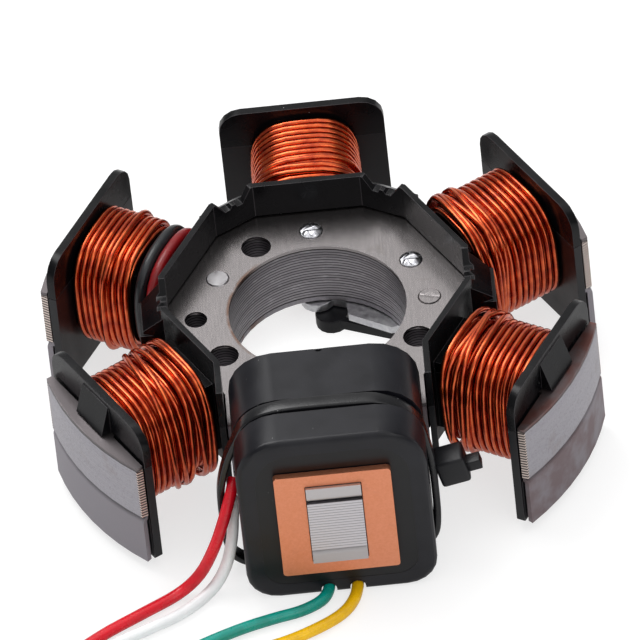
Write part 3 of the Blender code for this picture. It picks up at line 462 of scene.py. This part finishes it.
LEAD_DIAMETER = 2.1 * MM
LEAD_STEPS = 4
LEAD_ROUNDS = 4
LEADS = {
    "red": [(-17.0, -36.3, 20.3), (-17.7, -38.4, 18.9), (-19.5, -40.4, 14.4), (-21.7, -41.9, 9.4),
            (-24.6, -42.6, 4.3), (-28.7, -43.8, 1.3), (-35.3, -47.7, 1.15), (-42.6, -52.2, 1.15),
            (-50, -58.5, 1.15), (-55, -67, 1.15), (-56.5, -77, 1.15), (-55.2, -88, 1.15),
            (-52.5, -98, 2.6), (-51, -104, 3.4), (-51, -108.6, 3.4)],
    "white": [(-17.0, -36.3, 16.3), (-17.7, -38.4, 14.0), (-18.4, -40.0, 9.6), (-20.0, -41.8, 4.8),
              (-23, -44, 1.5), (-28.2, -48.4, 1.15), (-34.4, -51.6, 1.15), (-42, -55.4, 1.15),
              (-48, -61.5, 1.15), (-51.6, -70, 1.15), (-52.4, -80, 1.15), (-50.4, -90, 1.15),
              (-47, -99, 2.6), (-45.6, -104, 3.4), (-45.6, -108.6, 3.4)],
    "green": [(-2.6, -39.4, 1.15), (-2.6, -43, 1.15), (-2.7, -46.2, 1.15), (-4.2, -48.8, 1.15),
              (-7.8, -50.8, 1.15), (-12.6, -52, 1.15), (-19, -54, 1.15), (-27, -57.6, 1.15),
              (-35, -62.6, 1.15), (-42, -69.4, 1.15), (-46.2, -78, 1.15), (-47.6, -86, 3.0),
              (-49.6, -94, 6.4), (-50.9, -102.5, 8.4), (-51, -108.6, 8.4)],
    "yellow": [(2.4, -39.4, 1.15), (2.4, -43, 1.15), (2.3, -46.2, 1.15), (1.4, -49.4, 1.15),
               (-0.7, -52.4, 1.15), (-4.6, -55.1, 1.15), (-11, -58, 1.15), (-20, -60.4, 1.15),
               (-29, -63.8, 1.15), (-37, -69.4, 1.15), (-42, -77.6, 1.15), (-44.6, -87, 2.4),
               (-45.4, -96.5, 6.6), (-45.6, -103.5, 8.4), (-45.6, -108.6, 8.4)],
}
LEAD_COLOURS = {"red": ("dc0d24", "c00a1d"), "white": ("f8f8f9", "eeeef0"),
                "green": ("039a8c", "028274"), "yellow": ("f2bf05", "dba804")}


def make_leads():
    """The four leads, each one smooth curve from the case to the connector, with its terminal."""
    housing = refine("connector_housing", "natural_nylon",
                     vinyl("natural_nylon", "e3dfd2", "d6d1c2", 0.42), width=0.3)
    brass = plated_steel("tinned_brass", "cfcabb", "b3ab97", 0.3)
    for number, (name, route) in enumerate(LEADS.items()):
        line = smooth_line([Vector(p) * MM for p in route], LEAD_STEPS)
        lead = tube(f"lead_{name}_cover", [line], LEAD_DIAMETER, LEAD_ROUNDS)
        main, shade = LEAD_COLOURS[name]
        dress(lead, f"{name}_lead_cover", vinyl(f"{name}_vinyl", main, shade), node=f"lead_{name}")
        terminal = refine(f"terminal_{number + 1}", "tinned_brass", brass, width=0.1)


# Light, floor and background

TABLE_LEVEL = -0.05 * MM
# Painted light: the table glows more under the bore, lifting the object's shadow there
GLOW_FROM, GLOW_TO = 14 * MM, 26 * MM
GLOW_NEAR, GLOW_FAR, GLOW_MIRRORED = 1.05, 0.68, 0.36
PAINT_LIT, PAINT_SEEN = grey(0.8), grey(0.38)
SIDES_FROM, SIDES_TO = 0.3, 0.6
SKY_MIRRORED, SIDES_MIRRORED, SKY_LIGHT = 0.64, 0.22, 0.78
LIGHTS = {"key_light": ((-0.38, 0.5, 1.1), 0.7, 6.5),
          "front_light": ((0.5, -0.9, 0.7), 0.6, 1.4),
          "top_light": ((0.1, 0.1, 1.2), 1.4, 3.4)}


def make_table():
    """A white table: it glows to the eye, most at the object's middle, where the extra glow is
    painted light that lifts the object's shadow in the bore, and less to mirrors.
    To the other rays it is plain white paint."""
    bpy.ops.mesh.primitive_plane_add(size=4, location=(0, 0, TABLE_LEVEL))
    floor = bpy.context.object
    floor.name = "white_table"
    made = bpy.data.materials.new("white_table_paint")
    made.use_nodes = True
    tree = made.node_tree
    tree.nodes.clear()
    rays = add(tree, "ShaderNodeLightPath").outputs
    seen = combine(tree, "MAXIMUM", rays["Is Camera Ray"], rays["Is Glossy Ray"])
    seen = combine(tree, "MAXIMUM", seen, rays["Is Transmission Ray"])
    middle = add(tree, "ShaderNodeVectorMath", {0: add(tree, "ShaderNodeTexCoord").outputs["Object"]},
                 operation="LENGTH").outputs["Value"]
    level = ramp(tree, middle, GLOW_FROM, GLOW_TO, GLOW_NEAR, GLOW_FAR)
    level = ramp(tree, rays["Is Camera Ray"], 0, 1, GLOW_MIRRORED, level)
    lit = add(tree, "ShaderNodeBsdfDiffuse", {"Color": blend(tree, seen, PAINT_LIT, PAINT_SEEN)})
    shine = add(tree, "ShaderNodeEmission", {"Color": grey(1.0),
                                             "Strength": combine(tree, "MULTIPLY", seen, level)})
    both = add(tree, "ShaderNodeAddShader", {0: lit.outputs[0], 1: shine.outputs[0]})
    add(tree, "ShaderNodeOutputMaterial", {"Surface": both.outputs[0]})
    floor.data.materials.append(made)


def make_sky():
    """A white surround to the eye, softer as light, and darker at the sides where it is mirrored."""
    world = bpy.data.worlds.new("studio")
    bpy.context.scene.world = world
    world.use_nodes = True
    tree = world.node_tree
    tree.nodes.clear()
    rays = add(tree, "ShaderNodeLightPath").outputs
    seen = combine(tree, "MAXIMUM", rays["Is Camera Ray"], rays["Is Transmission Ray"])
    toward = add(tree, "ShaderNodeTexCoord").outputs["Generated"]
    aside = add(tree, "ShaderNodeMath", {0: along(tree, toward, "X")}, operation="ABSOLUTE").outputs[0]
    mirrored = ramp(tree, aside, SIDES_FROM, SIDES_TO, SKY_MIRRORED, SIDES_MIRRORED)
    unseen = ramp(tree, rays["Is Glossy Ray"], 0, 1, SKY_LIGHT, mirrored)
    level = add(tree, "ShaderNodeMix", {0: seen, 2: unseen, 3: 1.0}, data_type="FLOAT")
    back = add(tree, "ShaderNodeBackground", {"Color": grey(1.0), "Strength": level.outputs[0]})
    add(tree, "ShaderNodeOutputWorld", {"Surface": back.outputs[0]})


def make_lights():
    """Three soft square lamps aimed at the object: behind on the left, at the front right, and above."""
    for name, (place, size, power) in LIGHTS.items():
        bpy.ops.object.light_add(type="AREA", location=place)
        lamp = bpy.context.object
        lamp.name = name
        lamp.data.size = size
        lamp.data.energy = power
        lamp.rotation_euler = (-Vector(place)).to_track_quat("-Z", "Y").to_euler()
    bpy.context.scene.view_settings.view_transform = "Standard"


# Steel core

# The sheets are as far apart as the lines in the photograph's bore, and fill the stack's height
SHEETS = 18
STACK_LOW, STACK_HIGH = 12.5, 23.5
SHEET_PITCH = (STACK_HIGH - STACK_LOW) / SHEETS * MM
SHEET_SHARE = 0.98
BORE_EDGE = 15.8 * MM
BORE_STEP = 0.001
POLE_TIP = (math.radians(16.6), math.radians(16.8))


def lamination_sheets(made):
    """The core's sheets, one by one, each with its bore a hair wider or narrower than the next."""
    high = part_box("lamination_stack")[1]
    sheet = merged_copy("lamination_stack", "lamination_sheets")
    for face in sheet.data.polygons:
        face.select = face.normal.z > 0.5 and face.center.z > high.z - NEAR_TOP
    for part in (sheet.data.vertices, sheet.data.edges):
        for item in part:
            item.select = False
    bpy.ops.object.mode_set(mode="EDIT")
    bpy.ops.mesh.select_mode(type="FACE")
    bpy.ops.mesh.select_all(action="INVERT")
    bpy.ops.mesh.delete(type="FACE")
    bpy.ops.object.mode_set(mode="OBJECT")
    apply_modifier(sheet, "SOLIDIFY", thickness=SHEET_PITCH * SHEET_SHARE, offset=-1)
    copies = [sheet]
    for number in range(1, SHEETS):
        other = bpy.data.objects.new("sheet", sheet.data.copy())
        bpy.context.scene.collection.objects.link(other)
        wider = 1 + random.uniform(-1.0, 1.0) * BORE_STEP
        for corner in other.data.vertices:
            if corner.co.xy.length < BORE_EDGE:
                corner.co.xy *= wider
        other.location.z = -number * SHEET_PITCH
        copies.append(other)
    only(sheet)
    for other in copies:
        other.select_set(True)
    bpy.ops.object.join()
    smooth(sheet, 25)
    return dress(sheet, "lamination_steel", made, node="lamination_stack")


# Leads that cross the linked pole's neck

LINK_HALF_WIDTH = 8.9 * MM
LINK_POLE = 150
LINK_STEPS = 48
LINK_SQUARENESS = 2.5


def link_lead(node, slot_name, made):
    """One of the two covered leads bent over the neck of the linked pole, as a smooth closed bend."""
    low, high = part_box(node)
    rise = (high.z - low.z - LEAD_DIAMETER) / 2
    middle = (high + low) / 2
    place = Vector(polar(LINK_POLE, 1)).dot(middle.xy)
    line = []
    for step in range(LINK_STEPS):
        t, z = superellipse(2 * math.pi * step / LINK_STEPS, LINK_HALF_WIDTH, rise, LINK_SQUARENESS)
        line.append((*polar(LINK_POLE, place, t), middle.z + z))
    bend = as_mesh(tube(node + "_bend", [line], LEAD_DIAMETER, LEAD_ROUNDS, closed=True))
    dress(bend, slot_name, made, node=node)


# Pole windings

WIRE = 1.05 * MM
WIRE_ROUNDS = 2
DEEP_PITCH, OUTER_PITCH = 1.16 * MM, 1.27 * MM
DEEP_INSET, OUTER_INSET, LOOSE_INSET = 1.45 * WIRE, 0.55 * WIRE, -0.12 * WIRE
OUTER_WOBBLE = 0.06 * MM
LEAN = 0.15
HALF_WIDTH, HALF_HEIGHT = 9.8 * MM, 11.6 * MM
MIDDLE_LEVEL = 17.85 * MM
OUTER_END = 43.4 * MM
POINTS_PER_TURN = 36
SQUARENESS = 3.0
TUCK = 2.4 * MM
WIRE_START = 0.14


def turn_point(angle, u, place, inset):
    """A point u of the way round one turn at a distance from the bore's axis; u = 0 is underneath,
    or a little up the side that faces away from the front on the poles to the left and right."""
    away = WIRE_START * round(math.cos(math.radians(angle)))
    t, z = superellipse(2 * math.pi * (u + away), HALF_WIDTH - inset, HALF_HEIGHT - inset, SQUARENESS)
    x, y = polar(angle, place, t)
    return Vector((x, y, MIDDLE_LEVEL + z))


def wound_layer(angle, places, inset, tilts):
    """One layer as one long wire: the place of each turn, and how far each leans."""
    line = [turn_point(angle, 0, places[0], inset + TUCK)]
    for number in range(len(places) - 1):
        for step in range(POINTS_PER_TURN):
            u = step / POINTS_PER_TURN
            place = places[number] * (1 - u) + places[number + 1] * u
            tilt = tilts[number] * (1 - u) + tilts[number + 1] * u
            line.append(turn_point(angle, u, place + tilt * math.sin(2 * math.pi * u), inset))
    return line + [turn_point(angle, 0, places[-1], inset), turn_point(angle, 0, places[-1], inset + TUCK)]


def crossing_turn(angle, top, bottom, lean, inset):
    """A loose turn that lies askew over the others."""
    middle, swing = (top + bottom) / 2, (bottom - top) / 2
    line = []
    for step in range(POINTS_PER_TURN):
        u = step / POINTS_PER_TURN
        place = middle + swing * math.cos(2 * math.pi * u) + lean * math.sin(2 * math.pi * u)
        line.append(turn_point(angle, u, place, inset))
    return line + [line[0]]


def spread(start, end, pitch, wobble):
    """Places of the turns of a layer, evenly apart with a small wobble."""
    count = max(2, round((end - start) / pitch))
    return [start + (end - start) * i / count + random.uniform(-wobble, wobble) for i in range(count + 1)]


# Each pole's angle in degrees, then in millimetres where its deep and its outer layer begin,
# and for each loose turn its place on top and underneath, and how far it leans
WINDINGS = {
    "winding_back": (90, 27.9, 27.9, [(30.8, 29.6, 0.5), (32.6, 31.2, -0.6), (29.4, 31.0, 0.4)]),
    "winding_back_left": (150, 32.5, 32.5, [(37.0, 37.8, 0.4)]),
    "winding_back_right": (30, 27.9, 32.0, [(29.6, 32.2, -0.5), (31.2, 33.4, 0.5), (33.0, 31.0, 0.6),
                                            (28.4, 30.2, 0.3), (31.8, 29.2, -0.5)]),
    "winding_front_left": (210, 27.9, 33.4, [(37.6, 32.6, 0.3), (35.6, 31.4, 0.3), (32.6, 33.8, 0.5),
                                             (31.4, 29.6, -0.3), (29.2, 30.4, 0.3), (28.6, 28.6, 0.1)]),
    "winding_front_right": (330, 27.9, 33.0, [(29.6, 33.4, 0.5), (32.4, 29.6, -0.4), (31.0, 28.8, 0.6),
                                              (33.8, 32.2, 0.4), (28.6, 30.6, -0.3)]),
}


def make_windings(made, shaded):
    """Each pole's coil from its real wire: two close layers and the loose turns over them.
    The deep layer, in the shade of the others, has a darker material."""
    for node, (angle, deep_start, outer_start, loose) in WINDINGS.items():
        deep = spread(deep_start * MM, OUTER_END, DEEP_PITCH, 0.0)
        outer = spread(outer_start * MM, OUTER_END, OUTER_PITCH, OUTER_WOBBLE)
        tilts = [random.uniform(-LEAN, LEAN) * MM for _ in outer]
        lines = [wound_layer(angle, deep[::-1], DEEP_INSET, [0.0] * len(deep)),
                 wound_layer(angle, outer, OUTER_INSET, tilts)]
        for top, bottom, lean in loose:
            lines.append(crossing_turn(angle, top * MM, bottom * MM, lean * MM, LOOSE_INSET))
        coil = tube(node + "_wire", lines, WIRE, WIRE_ROUNDS)
        coil.data.splines[0].material_index = 1
        for finish in (made, shaded):
            coil.data.materials.append(finish)
        dress(as_mesh(coil), "enamelled_copper", node=node)


# Small pieces with their own shapes

COPPER_MIDDLE = 18.2 * MM
WINDOW_REACH = (6 * MM, 10 * MM)
WINDOW_SCALE = (0.962, 0.98)
RESIN_MIDDLE = 18.3 * MM
RESIN_SCALE = 1.014
RESIN_FORWARD = 0.15 * MM


def close_window(place):
    """The copper plate's window drawn in to the tooth, which it grips."""
    if abs(place.x) < WINDOW_REACH[0] and abs(place.z - COPPER_MIDDLE) < WINDOW_REACH[1]:
        place.x *= WINDOW_SCALE[0]
        place.z = COPPER_MIDDLE + (place.z - COPPER_MIDDLE) * WINDOW_SCALE[1]
    return place


def fill_mouth(place):
    """The resin brought almost level with the case's mouth, and out to its walls."""
    return Vector((place.x * RESIN_SCALE, place.y - RESIN_FORWARD,
                   RESIN_MIDDLE + (place.z - RESIN_MIDDLE) * RESIN_SCALE))


# The cable tie's middle line, seen from the front: to the side and up, in millimetres
TIE_LINE = [(-7.6, 36.25), (-13.3, 34.2), (-16.0, 29.6), (-17.9, 25.0), (-19.35, 19.0), (-19.6, 13.0),
            (-19.4, 7.0), (-18.2, 3.0), (-15.2, 1.0), (-10.0, 0.8), (10.0, 0.8), (14.2, 1.2), (16.5, 3.8),
            (17.2, 8.0), (17.3, 14.0), (17.2, 20.0), (16.6, 25.0), (15.6, 29.9), (13.25, 33.4),
            (9.75, 35.55), (5.6, 36.25)]
TIE_FRONT, TIE_BACK = -38.0, -35.3
TIE_STEPS = 6
TIE_THICKNESS = 1.3 * MM
TIE_EASE = 0.42 * MM
TIE_HEAD, TIE_HEAD_SIZE = (20.6, -35.6, 17.8), (5.2, 5.0, 5.6)
TIE_TAIL, TIE_TAIL_SIZE = (24.2, -35.6, 17.9), (2.9, 2.4, 2.1)
TIE_HEAD_EASE, TIE_TAIL_EASE = 0.6, 0.2
TIE_TILT = math.radians(-13)
TIE_DULL_FROM = 17.5


def rounded_block(name, place, size, tilt, ease):
    """A block turned about the front-to-back line, with eased edges, all in millimetres."""
    bpy.ops.object.select_all(action="DESELECT")
    bpy.ops.mesh.primitive_cube_add(size=MM, location=[v * MM for v in place], rotation=(0, tilt, 0),
                                    scale=size)
    block = only(bpy.context.object)
    block.name = name
    bpy.ops.object.transform_apply(location=True, rotation=True, scale=True)
    return apply_modifier(block, "BEVEL", width=ease * MM, segments=3)


def cable_tie(made, dull):
    """The nylon tie: a rounded strap round the case and its leads, a square head and the cut tail.
    The head, the tail and the strap beside them are duller."""
    line = [(x * MM, TIE_FRONT * MM, z * MM) for x, z in TIE_LINE]
    line = smooth_line(line[-1:] + line + line[:2], TIE_STEPS)[TIE_STEPS:-TIE_STEPS - 1]
    mesh = bpy.data.meshes.new("cable_tie_strap")
    mesh.from_pydata(line, [(i, (i + 1) % len(line)) for i in range(len(line))], [])
    strap = bpy.data.objects.new("cable_tie_strap", mesh)
    bpy.context.scene.collection.objects.link(strap)
    only(strap)
    bpy.ops.object.mode_set(mode="EDIT")
    bpy.ops.mesh.select_mode(type="EDGE")
    bpy.ops.mesh.select_all(action="SELECT")
    bpy.ops.mesh.extrude_region_move(TRANSFORM_OT_translate={"value": (0, (TIE_BACK - TIE_FRONT) * MM, 0)})
    bpy.ops.mesh.select_all(action="SELECT")
    bpy.ops.mesh.normals_make_consistent(inside=False)
    bpy.ops.object.mode_set(mode="OBJECT")
    apply_modifier(strap, "SOLIDIFY", thickness=TIE_THICKNESS, offset=0)
    apply_modifier(strap, "BEVEL", width=TIE_EASE, segments=4, limit_method="ANGLE",
                   angle_limit=math.radians(60))
    head = rounded_block("tie_head", TIE_HEAD, TIE_HEAD_SIZE, TIE_TILT, TIE_HEAD_EASE)
    tail = rounded_block("tie_tail", TIE_TAIL, TIE_TAIL_SIZE, TIE_TILT, TIE_TAIL_EASE)
    only(strap)
    for other in (head, tail):
        other.select_set(True)
    bpy.ops.object.join()
    smooth(strap, SHARP_FROM)
    for face in strap.data.polygons:
        if face.center.x > TIE_DULL_FROM * MM:
            face.material_index = 1
    return dress(strap, "black_nylon", made, dull, node="cable_tie")


RIVET_CIRCLE = 19.5 * MM
DOMED_RIVETS, FLAT_RIVETS = (30, 90), (0, 150)
RIVET_HOLE_REACH = 2.6 * MM
RIVET_HOLE_SCALE = 0.9
CROWN_LEVEL, SHOULDER_LEVEL = 24.7 * MM, 24.55 * MM
CROWN_DENT, CROWN_LIFT, SHOULDER_DENT = 0.3 * MM, 0.1 * MM, 0.1 * MM
DENT_SPREAD, CROWN_SPREAD = 1.35, 0.95
CUT_ACROSS = (0.3, 1.0, 0.0)
FAINT_CUT = 0.03 * MM


def close_rivet_holes(place):
    """The top plate's rivet holes drawn in to the rivets, which fill them when they are struck."""
    for angle in DOMED_RIVETS + FLAT_RIVETS:
        centre = Vector(polar(angle, RIVET_CIRCLE))
        out = place.xy - centre
        if out.length < RIVET_HOLE_REACH:
            place.xy = centre + out * RIVET_HOLE_SCALE
    return place


def crimped(angle):
    """Four dents of a star punch in the head of the rivet at an angle."""
    centre = Vector(polar(angle, RIVET_CIRCLE))

    def dented(place):
        out = place.xy - centre
        quarter = math.degrees(math.atan2(out.y, out.x)) % 90
        if place.z > CROWN_LEVEL:
            in_dent = quarter < 10 or quarter > 80
            place.z -= CROWN_DENT if in_dent else -CROWN_LIFT
            place.xy = centre + out * (DENT_SPREAD if in_dent else CROWN_SPREAD)
        elif place.z > SHOULDER_LEVEL and 20 < quarter < 70:
            place.z -= SHOULDER_DENT
        return place
    return dented


def flush_rivet(node, made, cut=0.0):
    """A rivet whose flat head lies level with the plate, with a shallow cut of some depth across it."""
    low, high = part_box(node)
    thing = merged_copy(node, node + "_flush")
    for corner in thing.data.vertices:
        if corner.co.z > high.z - NEAR_TOP:
            corner.co.z = high.z
    only(thing)
    bpy.ops.object.mode_set(mode="EDIT")
    bpy.ops.mesh.select_all(action="SELECT")
    bpy.ops.mesh.bisect(plane_co=(low + high) / 2, plane_no=CUT_ACROSS)
    bpy.ops.object.mode_set(mode="OBJECT")
    for corner in thing.data.vertices:
        if corner.select and corner.co.z > high.z - NEAR_TOP / 2:
            corner.co.z -= cut
    smooth(thing, 1)
    return dress(thing, "rivet_steel", made, node=node)


GATE_PLACE = (-0.3 * MM, -23.3 * MM, 36.1 * MM)
GATE_RADIUS, GATE_HEIGHT = 0.92 * MM, 0.9 * MM
GATE_BACK = -23.4 * MM
GATE_RIM, GATE_DENT = 0.22 * MM, 0.35 * MM


def gate_stub(made):
    """The stub left by the sprue in the back rim of the case's top, with a small dent in it."""
    bpy.ops.object.select_all(action="DESELECT")
    bpy.ops.mesh.primitive_cylinder_add(vertices=24, radius=GATE_RADIUS, depth=GATE_HEIGHT,
                                        location=GATE_PLACE)
    stub = only(bpy.context.object)
    stub.name = "gate_stub"
    bpy.ops.object.transform_apply(location=True)
    bpy.ops.object.mode_set(mode="EDIT")
    bpy.ops.mesh.select_mode(type="FACE")
    bpy.ops.mesh.select_all(action="SELECT")
    bpy.ops.mesh.bisect(plane_co=(0, GATE_BACK, 0), plane_no=(0, 1, 0), use_fill=True, clear_outer=True)
    bpy.ops.mesh.select_all(action="DESELECT")
    bpy.ops.object.mode_set(mode="OBJECT")
    for face in stub.data.polygons:
        face.select = face.normal.z > 0.9
    bpy.ops.object.mode_set(mode="EDIT")
    bpy.ops.mesh.inset(thickness=GATE_RIM)
    bpy.ops.mesh.extrude_region_move(TRANSFORM_OT_translate={"value": (0, 0, -GATE_DENT)})
    bpy.ops.object.mode_set(mode="OBJECT")
    smooth(stub, SHARP_FROM)
    dress(stub, "black_case_plastic", made)


# Each sub-part with its finishes


def make_core(top):
    """The sheets between their two end plates: the top one brushed, the lower one ground and rusty."""
    lamination_sheets(sheet_edges())
    lower = brushed_steel("ground_end_plate", "aca8ad", "989499", "80726b", streak=(1.2, 1.2, 0.5),
                          pole="a6a2a8", rough=0.45, rust=0.45)
    refine("top_end_plate", "end_plate_steel", top, width=0.12, segments=1, reshape=close_rivet_holes)
    refine("bottom_end_plate", "end_plate_steel", lower, width=0.12, segments=1)


def make_insulators(nylon):
    """The two mouldings round the core: the upper one glossier, both pale along their edges, part
    wear and part painted sheen.
    """
    glossy = moulded_nylon("glossy_black_nylon", "070709", "0c0c0f", 0.25, ior=1.32)
    # Pale edges: part wear, part painted sheen along the rims
    wear_and_sheen = moulded_nylon("black_nylon_edge_wear_and_sheen", "262428", "3a3638", 0.4)
    refine("upper_insulator", "black_nylon", glossy, wear_and_sheen)
    refine("lower_insulator", "black_nylon", nylon, wear_and_sheen)


def make_coil(nylon, wire):
    """The potted ignition coil: case, gate mark, former, fine winding, resin, copper plate and tie."""
    case = moulded_nylon("black_case_moulding", "0f0f15", "18181e", 0.34)
    rim = moulded_nylon("black_case_worn_edge", "2c2826", "3c3634", 0.4)
    resin = moulded_nylon("black_potting_resin", "0e0e10", "151517", 0.36, grain=1.2)
    smooth_nylon = moulded_nylon("smooth_black_nylon", "0d0d10", "141417", 0.22, ior=1.5)
    refine("coil_case", "black_case_plastic", case, rim, width=0.3)
    gate_stub(case)
    refine("coil_bobbin", "black_nylon", nylon)
    refine("ignition_winding", "fine_enamelled_copper", wire)
    refine("potting_resin", "black_potting_resin", resin, width=0.06, reshape=fill_mouth)
    refine("copper_plate", "bare_copper", bare_copper(), width=0.12, reshape=close_window)
    cable_tie(smooth_nylon, nylon)


def make_small_parts(nylon, top):
    """The bracket and clip under the yoke, two bright crimped rivets, and two struck level with the
    plate, of which one is scarcely to be told from it."""
    # Paler than zinc plate: painted light lifting the shade on the bracket inside the bore
    zinc = plated_steel("zinc_plated_steel_painted_light", "f6f6f8", "d6d6da", 0.34)
    bright = plated_steel("bright_rivet_steel", "d6d6da", "a5a5aa", 0.24, size=0.8)
    dull = plated_steel("dull_rivet_steel", "c2c0c2", "b0adaf", 0.3, size=1.6)
    refine("lead_bracket", "zinc_plate", zinc)
    refine("lead_clip", "black_nylon", nylon)
    for angle in DOMED_RIVETS:
        refine(f"domed_rivet_{angle:03d}", "rivet_steel", bright, width=0.06, segments=1, limit=12,
               reshape=crimped(angle))
    flush_rivet("flat_rivet_150", dull)
    flush_rivet("flat_rivet_000", top, cut=FAINT_CUT)


def make_link_leads():
    """The black and the dark red lead over the neck of the linked pole."""
    link_lead("link_lead_black", "black_lead_cover", vinyl("black_vinyl", "18191c", "232529", 0.28))
    link_lead("link_lead_red", "dark_red_lead_cover", vinyl("dark_red_vinyl", "860e14", "6c0a10", 0.28))


make_camera()
make_leads()
make_table()
make_sky()
make_lights()

black_nylon = moulded_nylon("black_moulded_nylon", "0d0d11", "141418", 0.34)
# The top plate's dark pole tone is part tarnish, part painted shade
top_steel = brushed_steel("brushed_end_plate", "aea8a8", "a19c9c", "8c837c", streak=(3.0, 0.15, 1.0),
                          pole="6e686a", rough=0.24, rust=0.8)
orange_wire = enamelled_copper("enamelled_copper_wire", "b2340f", "f06c30")
deep_wire = enamelled_copper("shaded_copper_wire", "1c0503", "2e0a05")
make_core(top_steel)
make_insulators(black_nylon)
make_windings(orange_wire, deep_wire)
make_coil(black_nylon, orange_wire)
make_small_parts(black_nylon, top_steel)
make_link_leads()
